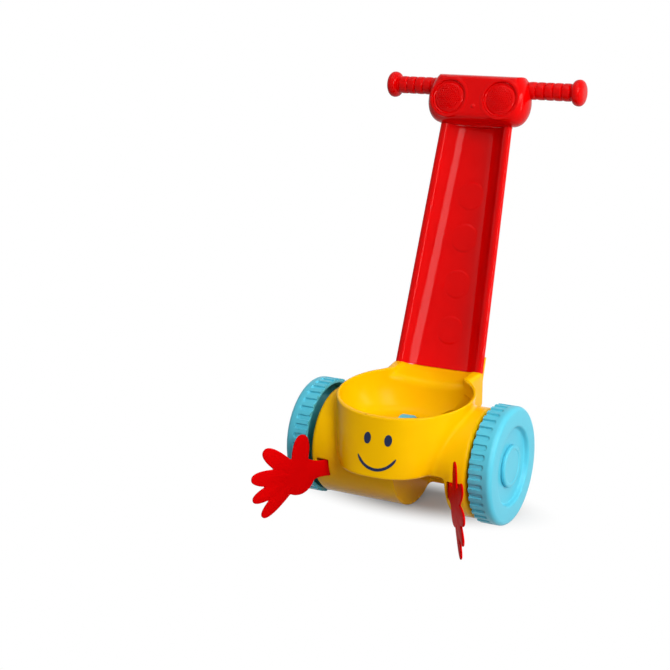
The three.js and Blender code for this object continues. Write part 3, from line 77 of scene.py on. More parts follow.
class Side(Enum):
    """The two sides of the walker, as the sign of x."""

    LEFT = -1
    RIGHT = 1

    @property
    def word(self) -> str:
        """The side's name in the frame's nodes."""
        return self.name.lower()


def linear(red: int, green: int, blue: int) -> tuple[float, float, float]:
    """Turns a screen colour into linear light.

    Args:
        red: Red from 0 to 255.
        green: Green from 0 to 255.
        blue: Blue from 0 to 255.

    Returns:
        The three linear values.
    """
    shares = [value / 255 for value in (red, green, blue)]
    return tuple(s / 12.92 if s <= 0.04045 else ((s + 0.055) / 1.055) ** 2.4 for s in shares)


def node_of(material: bpy.types.Material, kind: str, **inputs: float) -> bpy.types.Node:
    """Adds a shader node and sets some of its inputs.

    Args:
        material: The material that gets the node.
        kind: The node's type name.
        **inputs: Input names, with underscores for spaces, and their values.

    Returns:
        The new node.
    """
    node = material.node_tree.nodes.new(kind)
    for name, value in inputs.items():
        node.inputs[name.replace("_", " ")].default_value = value
    return node


@dataclass(frozen=True)
class MouldedPlastic:
    """Moulded plastic: faint flow clouds in its colour, uneven gloss and a fine skin."""

    name: str
    slot: str
    colour: tuple[float, float, float]
    deep: tuple[float, float, float]
    roughness: tuple[float, float]
    skin: float = 0.012
    shine: float = 0.2
    tint: tuple[float, float, float] = (1.0, 1.0, 1.0)
    flow_scale: float = 26.0
    skin_scale: float = 900.0

    def material(self) -> bpy.types.Material:
        """Makes the finish, or returns it if it is there already.

        Returns:
            The material.
        """
        known = bpy.data.materials.get(self.name)
        if known:
            return known
        made = bpy.data.materials.new(self.name)
        made.use_nodes = True
        link = made.node_tree.links.new
        shader = made.node_tree.nodes["Principled BSDF"]
        shader.inputs["IOR"].default_value = 1.5
        shader.inputs["Specular IOR Level"].default_value = self.shine
        shader.inputs["Specular Tint"].default_value = (*self.tint, 1)
        place = node_of(made, "ShaderNodeTexCoord")
        flow = node_of(made, "ShaderNodeTexNoise", Scale=self.flow_scale, Detail=3.0, Roughness=0.55)
        link(place.outputs["Object"], flow.inputs["Vector"])
        ramp = node_of(made, "ShaderNodeValToRGB")
        ramp.color_ramp.elements[0].position = 0.3
        ramp.color_ramp.elements[0].color = (*self.deep, 1)
        ramp.color_ramp.elements[1].position = 0.7
        ramp.color_ramp.elements[1].color = (*self.colour, 1)
        link(flow.outputs["Fac"], ramp.inputs["Fac"])
        link(ramp.outputs["Color"], shader.inputs["Base Color"])
        gloss = node_of(made, "ShaderNodeMapRange", To_Min=self.roughness[0], To_Max=self.roughness[1])
        gloss.inputs["From Min"].default_value = 0.3
        gloss.inputs["From Max"].default_value = 0.7
        link(flow.outputs["Fac"], gloss.inputs["Value"])
        link(gloss.outputs["Result"], shader.inputs["Roughness"])
        grain = node_of(made, "ShaderNodeTexNoise", Scale=self.skin_scale, Detail=2.0)
        link(place.outputs["Object"], grain.inputs["Vector"])
        bump = node_of(made, "ShaderNodeBump", Strength=self.skin, Distance=0.0004)
        link(grain.outputs["Fac"], bump.inputs["Height"])
        link(bump.outputs["Normal"], shader.inputs["Normal"])
        return made


@dataclass(frozen=True)
class DrawnSteel:
    """Plain steel with fine lines along its length."""

    name: str = "drawn_steel"
    slot: str = "steel"
    colour: tuple[float, float, float] = (0.52, 0.53, 0.55)
    lines: float = 700.0

    def material(self) -> bpy.types.Material:
        """Makes the finish, or returns it if it is there already.

        Returns:
            The material.
        """
        known = bpy.data.materials.get(self.name)
        if known:
            return known
        made = bpy.data.materials.new(self.name)
        made.use_nodes = True
        link = made.node_tree.links.new
        shader = made.node_tree.nodes["Principled BSDF"]
        shader.inputs["Base Color"].default_value = (*self.colour, 1)
        shader.inputs["Metallic"].default_value = 1.0
        place = node_of(made, "ShaderNodeTexCoord")
        grain = node_of(made, "ShaderNodeTexNoise", Scale=self.lines, Detail=2.0)
        link(place.outputs["Object"], grain.inputs["Vector"])
        gloss = node_of(made, "ShaderNodeMapRange", To_Min=0.22, To_Max=0.42)
        link(grain.outputs["Fac"], gloss.inputs["Value"])
        link(gloss.outputs["Result"], shader.inputs["Roughness"])
        return made


Finish = MouldedPlastic | DrawnSteel

YELLOW = MouldedPlastic(
    "yellow_moulding", "yellow_plastic", linear(254, 195, 1), linear(252, 189, 0), (0.20, 0.28), shine=0.08,
    tint=(1.0, 0.92, 0.6),
)
RED = MouldedPlastic(
    "red_moulding", "red_plastic", linear(226, 1, 2), linear(220, 0, 1), (0.035, 0.06), shine=0.09,
    tint=(1.0, 0.75, 0.72),
)
RED_SATIN = MouldedPlastic(
    "red_satin_moulding", "red_plastic", linear(226, 2, 4), linear(219, 1, 3), (0.42, 0.5), shine=0.015,
)
BLUE = MouldedPlastic(
    "blue_moulding", "blue_plastic", linear(90, 199, 221), linear(82, 192, 216), (0.30, 0.40), skin=0.02,
    shine=0.26,
)
NYLON = MouldedPlastic(
    "natural_nylon", "natural_nylon", linear(232, 227, 214), linear(224, 218, 203), (0.45, 0.55), skin=0.03,
)
STEEL = DrawnSteel()
INK_NAVY = MouldedPlastic("print_navy", "yellow_plastic", linear(22, 38, 74), linear(20, 34, 68), (0.3, 0.36))


@dataclass(frozen=True)
class Layout:
    """Where the drawn millimetres sit in the row frame, and how the slide leans."""

    foot_y: float = 73.0
    foot_z: float = 83.0
    lean: float = math.radians(18.9)

    def row(self, points: np.ndarray) -> np.ndarray:
        """Drawn points as row-frame metres.

        Args:
            points: Drawn points in millimetres.

        Returns:
            The same points in the row frame.
        """
        low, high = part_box("drive_axle")
        middle = (low + high) / 2
        return np.asarray(points, float) * MILLIMETRE + np.array([0.0, middle.y, middle.z])

    def leaning(self, points: np.ndarray) -> np.ndarray:
        """Points of the slide's frame as drawn points.

        Args:
            points: Points in the slide's frame.

        Returns:
            The same points as drawn from the axle.
        """
        points = np.asarray(points, float)
        c, s = math.cos(self.lean), math.sin(self.lean)
        y = self.foot_y + points[:, 1] * c + points[:, 2] * s
        z = self.foot_z - points[:, 1] * s + points[:, 2] * c
        return np.column_stack([points[:, 0], y, z])

    def upright(self, points: np.ndarray) -> np.ndarray:
        """Drawn points in the slide's frame.

        Args:
            points: Drawn points.

        Returns:
            The same points in the slide's frame.
        """
        c, s = math.cos(self.lean), math.sin(self.lean)
        y, z = points[:, 1] - self.foot_y, points[:, 2] - self.foot_z
        return np.column_stack([points[:, 0], y * c - z * s, y * s + z * c])


LAYOUT = Layout()


def mix(a: float | np.ndarray, b: float | np.ndarray, share: float | np.ndarray) -> float | np.ndarray:
    """The value between two others at a share."""
    return a + (b - a) * share


def meet(a: np.ndarray, b: np.ndarray, soft: float = 0.0) -> np.ndarray:
    """The common part of two forms.

    Args:
        a: Distances to the first form.
        b: Distances to the second form.
        soft: How far the edge between them is rounded.

    Returns:
        Distances to the common part.
    """
    if soft <= 0:
        return np.maximum(a, b)
    reach = np.clip(soft - np.abs(a - b), 0, None)
    return np.maximum(a, b) + reach * reach / (4 * soft)


def unite(a: np.ndarray, b: np.ndarray, soft: float = 0.0) -> np.ndarray:
    """Both forms together, with the crease between them filled by soft."""
    return -meet(-a, -b, soft)


def carve(a: np.ndarray, b: np.ndarray, soft: float = 0.0) -> np.ndarray:
    """The first form without the second, with the new edge rounded by soft."""
    return meet(a, -b, soft)


def box_field(
    points: np.ndarray, low: Sequence[float], high: Sequence[float], round_: float = 0.0,
) -> np.ndarray:
    """Distances to a box.

    Args:
        points: The places to measure.
        low: Lowest corner.
        high: Highest corner.
        round_: Radius of its edges.

    Returns:
        Signed distances, negative inside.
    """
    low, high = np.asarray(low, float), np.asarray(high, float)
    reach = np.abs(points - (low + high) / 2) - (high - low) / 2 + round_
    outside = np.linalg.norm(np.clip(reach, 0, None), axis=1)
    return outside + np.clip(reach.max(axis=1), None, 0) - round_


def rod_field(
    points: np.ndarray, start: Sequence[float], end: Sequence[float], radius: float, round_: float = 0.0,
) -> np.ndarray:
    """Distances to a round rod with flat ends.

    Args:
        points: The places to measure.
        start: Centre of one end.
        end: Centre of the other end.
        radius: The rod's radius.
        round_: Radius of its end edges.

    Returns:
        Signed distances, negative inside.
    """
    start, end = np.asarray(start, float), np.asarray(end, float)
    length = np.linalg.norm(end - start)
    axis = (end - start) / length
    along = (points - start) @ axis
    aside = np.linalg.norm(points - start - along[:, None] * axis, axis=1)
    reach = np.column_stack([aside - radius, np.abs(along - length / 2) - length / 2]) + round_
    outside = np.linalg.norm(np.clip(reach, 0, None), axis=1)
    return outside + np.clip(reach.max(axis=1), None, 0) - round_


def outline_field(points: np.ndarray, outline: np.ndarray) -> np.ndarray:
    """Signed distances of flat points to a closed outline.

    Args:
        points: Places, two columns.
        outline: Corners in order, two columns.

    Returns:
        Signed distances, negative inside.
    """
    best = np.full(len(points), np.inf)
    inside = np.zeros(len(points), bool)
    for a, b in zip(outline, np.roll(outline, -1, axis=0)):
        edge, away = b - a, points - a
        share = np.clip((away @ edge) / max(edge @ edge, 1e-12), 0, 1)
        gap = away - share[:, None] * edge
        best = np.minimum(best, np.einsum("ij,ij->i", gap, gap))
        spans = (a[1] > points[:, 1]) != (b[1] > points[:, 1])
        rise = edge[1] if abs(edge[1]) > 1e-12 else 1e-12
        inside ^= spans & (points[:, 0] < edge[0] * away[:, 1] / rise + a[0])
    return np.where(inside, -1, 1) * np.sqrt(best)


def oval_field(
    points: np.ndarray, half_width: np.ndarray, half_depth: np.ndarray, power: np.ndarray,
) -> np.ndarray:
    """About the distances of flat points to a rounded oval round the origin.

    Args:
        points: Places, two columns.
        half_width: Half the oval's size in the first direction.
        half_depth: Half its size in the second direction.
        power: 2 for an ellipse, more for a squarer form.

    Returns:
        Signed distances, negative inside.
    """
    a = np.abs(points[:, 0]) / half_width + 1e-6
    b = np.abs(points[:, 1]) / half_depth + 1e-6
    reach = (a**power + b**power) ** (1 / power)
    slope_a = a ** (power - 1) / half_width * reach ** (1 - power)
    slope_b = b ** (power - 1) / half_depth * reach ** (1 - power)
    return (reach - 1) / np.hypot(slope_a, slope_b)


def slopes(form: Field, points: np.ndarray, step: float) -> np.ndarray:
    """How a form's distance changes along each axis at some points.

    Args:
        form: Gives signed distances.
        points: The places.
        step: Half the span that is measured.

    Returns:
        The slope along each axis, three columns.
    """
    made = np.empty_like(points)
    for axis in range(3):
        shift = np.zeros(3)
        shift[axis] = step
        made[:, axis] = (form(points + shift) - form(points - shift)) / (2 * step)
    return made


@dataclass
class Skin:
    """A surface as points, faces and the direction that each point faces."""

    points: np.ndarray
    faces: list[tuple[int, ...]] | np.ndarray
    normals: np.ndarray | None = None

    def moved(self, change: Callable[[np.ndarray], np.ndarray]) -> "Skin":
        """The skin with its points set elsewhere, without turning inside out.

        Args:
            change: Gives the new place of each point.

        Returns:
            The moved skin.
        """
        normals = self.normals
        if normals is not None:
            normals = change(self.points + normals) - change(self.points)
        return Skin(change(self.points), self.faces, normals)

    def mirrored(self) -> "Skin":
        """The same skin on the other side of the middle plane.

        Returns:
            The mirrored skin, still facing outwards.
        """
        flip = np.array([-1.0, 1.0, 1.0])
        faces = self.faces[:, ::-1] if isinstance(self.faces, np.ndarray) else [f[::-1] for f in self.faces]
        return Skin(self.points * flip, faces, None if self.normals is None else self.normals * flip)


def skin_of(form: Field, low: Sequence[float], high: Sequence[float], cell: float) -> Skin:
    """Covers a form with even four-sided faces whose points lie on it.

    Args:
        form: Gives the signed distance of points to the form.
        low: Lowest corner of the space that holds it.
        high: Highest corner of that space.
        cell: Size of a face.

    Returns:
        The skin, with its exact directions.
    """
    counts = [int(math.ceil((b - a) / cell)) + 5 for a, b in zip(low, high)]
    start = np.asarray(low, float) - 2 * cell
    plane = np.meshgrid(np.arange(counts[1]), np.arange(counts[2]), indexing="ij")
    across = np.stack(plane, axis=-1).reshape(-1, 2)
    values = np.empty(counts, np.float32)
    for i in range(counts[0]):
        grid = np.column_stack([np.full(len(across), float(i)), across])
        values[i] = form(start + grid * cell).reshape(counts[1:])
    inside = values < 0
    corners = np.array([[i, j, k] for i in (0, 1) for j in (0, 1) for k in (0, 1)])
    number = np.zeros([n - 1 for n in counts], np.uint8)
    for i, j, k in corners:
        number += inside[i:counts[0] - 1 + i, j:counts[1] - 1 + j, k:counts[2] - 1 + k]
    active = (number > 0) & (number < 8)
    cells = np.argwhere(active)
    index = np.full(active.shape, -1, np.int64)
    index[active] = np.arange(len(cells))
    total, hits = np.zeros((len(cells), 3)), np.zeros(len(cells))
    for a in corners:
        for axis in range(3):
            if a[axis]:
                continue
            b = a.copy()
            b[axis] = 1
            first, second = values[tuple((cells + a).T)], values[tuple((cells + b).T)]
            cross = (first < 0) != (second < 0)
            share = first[cross] / (first[cross] - second[cross])
            total[cross] += a + share[:, None] * (b - a)
            hits[cross] += 1
    points = start + (cells + total / hits[:, None]) * cell
    faces = []
    for axis in range(3):
        u, v = (axis + 1) % 3, (axis + 2) % 3
        ahead = np.take(inside, np.arange(1, counts[axis]), axis)
        behind = np.take(inside, np.arange(counts[axis] - 1), axis)
        edges = np.argwhere(ahead != behind)
        edges = edges[(edges[:, u] >= 1) & (edges[:, v] >= 1)]
        edges = edges[(edges[:, u] < counts[u] - 1) & (edges[:, v] < counts[v] - 1)]
        step_u, step_v = np.eye(3, dtype=int)[u], np.eye(3, dtype=int)[v]
        ring = [edges - step_u - step_v, edges - step_v, edges, edges - step_u]
        quads = np.column_stack([index[tuple(corner.T)] for corner in ring])
        outward = behind[tuple(edges.T)]
        faces.append(np.where(outward[:, None], quads, quads[:, ::-1]))
    for _ in range(3):
        slope = slopes(form, points, 0.02)
        push = form(points) / np.clip(np.einsum("ij,ij->i", slope, slope), 0.2, None)
        points = points - slope * np.clip(push, -cell, cell)[:, None]
    normals = slopes(form, points, 0.2)
    normals /= np.clip(np.linalg.norm(normals, axis=1), 1e-9, None)[:, None]
    return Skin(points, np.concatenate(faces), normals)


def strips(rings: int, count: int) -> np.ndarray:
    """Four-sided faces between rings of points that follow one another.

    Args:
        rings: Number of rings.
        count: Points round each ring.

    Returns:
        The faces, ring by ring.
    """
    around = np.arange(count)
    after = (around + 1) % count
    first = np.column_stack([around, count + around, count + after, after])
    return np.concatenate([first + ring * count for ring in range(rings - 1)])


def turned(profile: Profile, steps: int = 96, reach: Reach | None = None) -> Skin:
    """A form turned about the X axis.

    Args:
        profile: Radius and x of each ring, from one end to the other.
        steps: Points round each ring.
        reach: Changes a ring's radius by the turn, if given.

    Returns:
        The skin, closed where the profile starts and ends on the axis or meets itself.
    """
    turns = 2 * math.pi * np.arange(steps) / steps
    rings = []
    for number, (radius, x) in enumerate(profile):
        radii = np.full(steps, radius, float)
        if reach is not None:
            radii = radii + reach(turns, number)
        rings.append(np.column_stack([np.full(steps, x), radii * np.sin(turns), radii * np.cos(turns)]))
    points, made = np.concatenate(rings), strips(len(profile), steps)
    return Skin(points, made if volume(points, made) > 0 else made[:, ::-1])


def volume(points: np.ndarray, faces: np.ndarray) -> float:
    """The space that four-sided faces enclose, negative where they face inwards.

    Args:
        points: Corners of the faces.
        faces: Four corner numbers for each face.

    Returns:
        The enclosed space.
    """
    a, b, c, d = (points[faces[:, i]] for i in range(4))
    first = np.einsum("ij,ij->i", a, np.cross(b, c))
    return float((first + np.einsum("ij,ij->i", a, np.cross(c, d))).sum() / 6)


def rounded_corners(profile: Profile, radius: float, steps: int = 4) -> list[tuple[float, float]]:
    """Rounds the inner corners of a profile.

    Args:
        profile: Points in order.
        radius: How far from each corner the rounding starts, at most a third of an edge.
        steps: Points on each rounded corner.

    Returns:
        The finer profile with the same ends.
    """
    points = [np.array(p, float) for p in profile]
    made = [tuple(points[0])]
    for before, corner, after in zip(points, points[1:], points[2:]):
        back, ahead = before - corner, after - corner
        reach = min(radius, np.linalg.norm(back) / 3, np.linalg.norm(ahead) / 3)
        first = corner + back / max(np.linalg.norm(back), 1e-9) * reach
        last = corner + ahead / max(np.linalg.norm(ahead), 1e-9) * reach
        for share in np.linspace(0, 1, steps):
            bend = mix(mix(first, corner, share), mix(corner, last, share), share)
            made.append(tuple(bend))
    made.append(tuple(points[-1]))
    return made


def add_piece(
    name: str, skin: Skin, finish: Finish, body: Body, replaced: Sequence[str] = (), sharp: float = 40.0,
) -> bpy.types.Object:
    """Makes a piece of the walker from a skin drawn from the axle's centre.

    Args:
        name: The piece's name.
        skin: Its surface in millimetres.
        finish: What it is made of.
        body: The body that it moves with.
        replaced: Nodes of the frame that it stands for.
        sharp: Edges over this many degrees stay crisp where the skin has no directions.

    Returns:
        The new object.
    """
    mesh = bpy.data.meshes.new(name)
    faces = skin.faces.tolist() if isinstance(skin.faces, np.ndarray) else skin.faces
    mesh.from_pydata(LAYOUT.row(skin.points).tolist(), [], faces)
    mesh.validate()
    mesh.shade_smooth()
    if skin.normals is None:
        mesh.set_sharp_from_angle(angle=math.radians(sharp))
    elif len(mesh.vertices) == len(skin.normals):
        mesh.normals_split_custom_set_from_vertices(skin.normals.tolist())
    mesh.materials.append(finish.material())
    made = bpy.data.objects.new(name, mesh)
    bpy.context.scene.collection.objects.link(made)
    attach(made, body.value)
    if replaced:
        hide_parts(*replaced)
    LOG.info("%s: %d points on %s", name, len(mesh.vertices), body.value)
    return made


def weld_ends(skin: Skin) -> Skin:
    """Joins the points of a turned skin that share one place, such as those on its axis.

    Args:
        skin: The turned skin.

    Returns:
        The skin without doubled points or faces of no area.
    """
    keys = np.round(skin.points, 4)
    _, first, back = np.unique(keys, axis=0, return_index=True, return_inverse=True)
    faces = []
    for face in back[skin.faces].reshape(len(skin.faces), -1).tolist():
        kept = [v for i, v in enumerate(face) if v != face[i - 1]]
        if len(kept) > 2:
            faces.append(tuple(kept))
    return Skin(skin.points[first], faces)


def plain_rod(radius: float, start: float, end: float, edge: float, steps: int) -> Skin:
    """A round rod along X with broken edges.

    Args:
        radius: The rod's radius.
        start: Where it starts.
        end: Where it ends.
        edge: How much of each edge is broken.
        steps: Points round it.

    Returns:
        The closed skin.
    """
    inner = radius - edge
    profile = [
        (0, start), (inner, start), (radius, start + edge), (radius, end - edge), (inner, end), (0, end),
    ]
    return weld_ends(turned(profile, steps))


@dataclass
class SlideRun:
    """The red gutter that the balls roll down, with rolled rails and pressed discs."""

    length: float = 303.0
    foot_half_width: float = 59.0
    top_half_width: float = 47.8
    rail_width: float = 12.0
    rail_edge_depth: float = 3.5
    depth: float = 22.0
    wall: float = 3.0
    rail: Profile = ((9.0, 0.9), (5.0, 0.0), (1.5, 1.2), (0.0, 4.3), (2.0, 7.0))
    disc_places: tuple[float, ...] = (48.0, 106.0, 164.0, 217.0)
    disc_radius: float = 17.0
    disc_flatness: float = 0.5
    disc_edge: float = 2.4
    rows: int = 400
    floor_steps: int = 96

    def arc(self, half_width: float) -> tuple[float, float, float]:
        """Radius, centre and half angle of the gutter at a half width.

        Args:
            half_width: Half the slide's width there.

        Returns:
            Radius, depth of the centre and half angle.
        """
        half = half_width - self.rail_width
        rise = self.depth - self.rail_edge_depth
        radius = (half * half + rise * rise) / (2 * rise)
        return radius, self.depth - radius, math.asin(half / radius)

    def section(self, half_width: float) -> np.ndarray:
        """The closed outline across the slide, from the left rail over the floor and back below.

        Args:
            half_width: Half the slide's width there.

        Returns:
            Across and depth of each point.
        """
        radius, centre, angle = self.arc(half_width)
        turns = np.linspace(-angle, angle, self.floor_steps + 1)
        floor = np.column_stack([radius * np.sin(turns), centre + radius * np.cos(turns)])
        under = np.column_stack([np.sin(turns), np.cos(turns)]) * (radius + self.wall) + (0, centre)
        right = [(half_width - inset, depth) for inset, depth in self.rail]
        left = [(inset - half_width, depth) for inset, depth in reversed(self.rail)]
        rail = rounded_corners([tuple(floor[-1]), *right, tuple(under[-1])], 2.0, 5)[1:-1]
        other = rounded_corners([tuple(under[0]), *left, tuple(floor[0])], 2.0, 5)[1:-1]
        return np.concatenate([floor, rail, under[::-1], other])

    def lift(self, points: np.ndarray) -> np.ndarray:
        """How far the flat pads stand out of the curved floor at some points of one section.

        Args:
            points: Floor points of one section.

        Returns:
            How far each one stands out.
        """
        radius, centre, _ = self.arc(self.half_width(points[0, 2]))
        level = centre + math.sqrt(radius**2 - self.disc_radius**2)
        rise = np.zeros(len(points))
        for place in self.disc_places:
            gap = np.hypot(points[:, 0], points[:, 2] - place) - self.disc_radius
            share = np.clip(0.5 - gap / self.disc_edge, 0, 1)
            rise = np.maximum(rise, share * share * (3 - 2 * share))
        return rise * np.clip(points[:, 1] - level, 0, None) * self.disc_flatness

    def half_width(self, height: float) -> float:
        """Half the slide's width at a height."""
        return mix(self.foot_half_width, self.top_half_width, height / self.length)

    def build(self) -> None:
        """Makes the slide."""
        rings = []
        for height in np.linspace(0, self.length, self.rows + 1):
            section = self.section(self.half_width(height))
            ring = np.column_stack([section, np.full(len(section), height)])
            floor = slice(0, self.floor_steps + 1)
            ring[floor, 1] -= self.lift(ring[floor])
            rings.append(ring)
        count = len(rings[0])
        faces = strips(len(rings), count).tolist() + self.ends(count)
        skin = Skin(LAYOUT.leaning(np.concatenate(rings)), [tuple(f) for f in faces])
        add_piece("slide_gutter", skin, RED, Body.CHASSIS, ["slide"], sharp=50.0)

    def ends(self, count: int) -> list[tuple[int, ...]]:
        """Faces that close the slide's foot and top, between its floor and its underside.

        Args:
            count: Points in each section.

        Returns:
            The faces of both ends.
        """
        faces = []
        floor = self.floor_steps
        rail = (count - 2 * (floor + 1)) // 2
        under = floor + 1 + rail
        for base, flip in ((0, True), (self.rows * count, False)):
            strip = [(i, i + 1, under + floor - i - 1, under + floor - i) for i in range(floor)]
            strip.append(tuple(range(floor, under + 1)))
            strip.append((*range(under + floor, count), 0))
            for face in strip:
                ordered = tuple(base + i for i in face)
                faces.append(ordered if flip else ordered[::-1])
        return faces


@dataclass
class BodyShell:
    """The yellow shell: drum, face panel, ball bowl, chute and the slide's receiver."""

    slide: SlideRun
    wall: float = 3.0
    fit: float = 0.3
    cell: float = 1.3
    edge: float = 1.2
    crease: float = 5.0
    drum_radius: float = 65.0
    drum_drop: float = 2.0
    drum_half_length: float = 101.0
    drum_round: float = 6.0
    chute: tuple[float, float] = (8.0, 74.0)
    chute_back: float = 39.0
    chute_foot: float = -62.0
    chute_wall_top: float = 14.0
    mouth_round: float = 5.0
    ball_hole: tuple[float, float, float] = (41.5, 5.5, 32.5)
    ball_hole_top: float = 64.0
    ball_hole_skin: float = 1.6
    ball_hole_back: float = 2.3
    ball_hole_lean: tuple[float, float, float] = (43.0, 9.0, 0.75)
    lip_blend: float = 9.0
    tub_low: float = -4.0
    tub_low_half: tuple[float, float] = (60.0, 76.5)
    tub_low_y: float = -27.5
    tub_squareness: float = 2.6
    tub_width_power: float = 0.6
    rim_height: float = 74.4
    rim_half: tuple[float, float] = (84.0, 72.0)
    rim_y: float = -14.0
    rim_tilt: float = math.radians(8)
    bowl_floor: float = 30.0
    bowl_share: float = 0.66
    kicker_slot: tuple[float, float, float] = (42.5, -15.5, 4.5)
    collar_wall: float = 3.5
    collar_rise: float = 18.0
    collar_share: float = 0.74
    receiver_length: float = 8.0
    root_y: float = 34.0
    root_top: float = 80.0
    root_share: float = 0.86
    root_depth: float = 1.9
    cheek_x: tuple[float, float] = (45.5, 58.0)
    cheek: Profile = ((34.0, 80.0), (73.0, 82.7), (83.0, 79.3), (83.0, 42.0), (60.0, 22.0), (34.0, 22.0))
    post: tuple[tuple[float, float], ...] = ((48.5, 58.0), (7.3, 10.5), (-8.0, 26.0))
    lip_y: float = 46.0
    lip_height: float = 66.0
    lip_half_width: float = 46.0
    lip_hollow: float = 10.0
    slot_x: tuple[float, float] = (77.0, 93.0)
    slot_z: tuple[float, float] = (-29.3, -7.7)
    pin_y: float = -50.0
    pin_x: float = 82.0
    shelf: float = 3.0
    bush_bore: float = 6.6
    cover_x: tuple[float, float] = (-90.0, -6.0)
    cover_y: tuple[float, float] = (-12.03, 46.02)
    cover_screw_turns: tuple[float, float] = (0.06, 0.6)
    ledge_width: float = 8.0

    @property
    def cover_level(self) -> float:
        """The height where the underside's opening ends."""
        return -self.drum_drop - self.drum_radius / 2

    @property
    def cover_screw_x(self) -> tuple[float, float]:
        """Where the cover's two rows of screws are."""
        return self.cover_x[0] + self.ledge_width / 2, self.cover_x[1] - self.ledge_width / 2

    def drum(self, p: np.ndarray, inset: float) -> np.ndarray:
        """The drum about the axle, drawn in by an inset.

        Args:
            p: Drawn points in millimetres.
            inset: How far the form is drawn in.

        Returns:
            Signed distances, negative inside.
        """
        half = self.drum_half_length - inset
        centre = -self.drum_drop
        return rod_field(p, (-half, 0, centre), (half, 0, centre), self.drum_radius - inset, self.drum_round)

    def tub(self, p: np.ndarray, inset: float) -> np.ndarray:
        """The tub's wall without its ends, drawn in by an inset.

        Args:
            p: Drawn points in millimetres.
            inset: How far the form is drawn in.

        Returns:
            Signed distances, negative inside.
        """
        share = np.clip((p[:, 2] - self.tub_low) / (self.rim_height - self.tub_low), -0.3, 1.5)
        opening = np.clip(share, 0, None) ** self.tub_width_power
        width = mix(self.tub_low_half[0], self.rim_half[0], opening) - inset
        depth = mix(self.tub_low_half[1], self.rim_half[1], share) - inset
        y = mix(self.tub_low_y, self.rim_y, share)
        power = np.maximum(2.0, mix(self.tub_squareness, 2.0, share))
        return oval_field(np.column_stack([p[:, 0], p[:, 1] - y]), width, depth, power)

    def rim(self, p: np.ndarray) -> np.ndarray:
        """Height over the rim's tilted plane.

        Args:
            p: Drawn points in millimetres.

        Returns:
            Heights, negative below the rim.
        """
        above, behind = p[:, 2] - self.rim_height, p[:, 1] - self.rim_y
        return math.cos(self.rim_tilt) * above - math.sin(self.rim_tilt) * behind

    def bowl(self, p: np.ndarray, swell: float) -> np.ndarray:
        """The bowl's hollow, or its dish's outside where it swells by a wall.

        Args:
            p: Drawn points in millimetres.
            swell: How far the form grows outwards.

        Returns:
            Signed distances, negative inside.
        """
        height = np.clip((self.rim_height - swell - p[:, 2]) / (self.rim_height - self.bowl_floor), 0, 1)
        share = mix(self.bowl_share, 1.0, np.sqrt(1 - height * height))
        width = (self.rim_half[0] - self.wall) * share + swell
        depth = (self.rim_half[1] - self.wall) * share + swell
        flat = np.column_stack([p[:, 0], p[:, 1] - self.rim_y])
        side = oval_field(flat, width, depth, np.full(len(p), 2.0))
        return meet(side, self.bowl_floor - swell - p[:, 2], 8.0)

    def receiver(self, p: np.ndarray) -> np.ndarray:
        """The stand and collar that hold the slide's foot.

        Args:
            p: Drawn points in millimetres.

        Returns:
            Signed distances, negative inside.
        """
        q = LAYOUT.upright(p)
        radius, centre, angle = self.slide.arc(self.slide.foot_half_width)
        outer = radius + self.slide.wall + self.fit + self.collar_wall
        behind = centre + np.sqrt(np.clip(outer**2 - p[:, 0] ** 2, 0, None))
        c, s = math.cos(LAYOUT.lean), math.sin(LAYOUT.lean)
        end_y = LAYOUT.foot_y + behind * c - self.receiver_length * s
        end_z = LAYOUT.foot_z - behind * s - self.receiver_length * c
        start_z = self.root_top - behind * self.root_depth
        share = (p[:, 1] - self.root_y) / (end_y - self.root_y)
        under = (mix(start_z, end_z, share) - p[:, 2]) * 0.75
        along = (p[:, 1] - self.root_y) / (LAYOUT.foot_y - self.root_y)
        top = p[:, 2] - mix(self.root_top, LAYOUT.foot_z, along)
        half = self.slide.foot_half_width
        side = np.abs(p[:, 0]) - mix(half * self.root_share, half, np.clip(along, 0, 1))
        stand = meet(under, q[:, 1] - behind, 3.0)
        stand = meet(stand, meet(top, q[:, 2] + self.fit, 2.0), 2.0)
        stand = meet(meet(stand, side, 4.0), self.root_y - p[:, 1])
        reach_in = np.hypot(q[:, 0], q[:, 1] - centre)
        turn = np.abs(np.arctan2(q[:, 0], q[:, 1] - centre))
        collar = np.abs(reach_in - outer + self.collar_wall / 2) - self.collar_wall / 2
        low, high = -self.receiver_length, self.collar_rise
        collar = meet(collar, np.abs(q[:, 2] - (low + high) / 2) - (high - low) / 2, self.edge)
        collar = meet(collar, (turn - angle * self.collar_share) * reach_in, self.edge)
        return unite(unite(stand, collar, 1.0), self.cheeks(p), 4.0)

    def cheeks(self, p: np.ndarray) -> np.ndarray:
        """The plates and short posts under and behind the slide's rails.

        Args:
            p: Drawn points in millimetres.

        Returns:
            Signed distances, negative inside.
        """
        mirrored = np.column_stack([np.abs(p[:, 0]), p[:, 1], p[:, 2]])
        side = outline_field(p[:, 1:], np.array(self.cheek, float))
        inner, outer = self.cheek_x
        plate = meet(side, np.abs(mirrored[:, 0] - (inner + outer) / 2) - (outer - inner) / 2, 5.0)
        low, high = zip(*self.post)
        post = box_field(LAYOUT.upright(mirrored), low, high, 1.2)
        return unite(plate, post, 1.0)

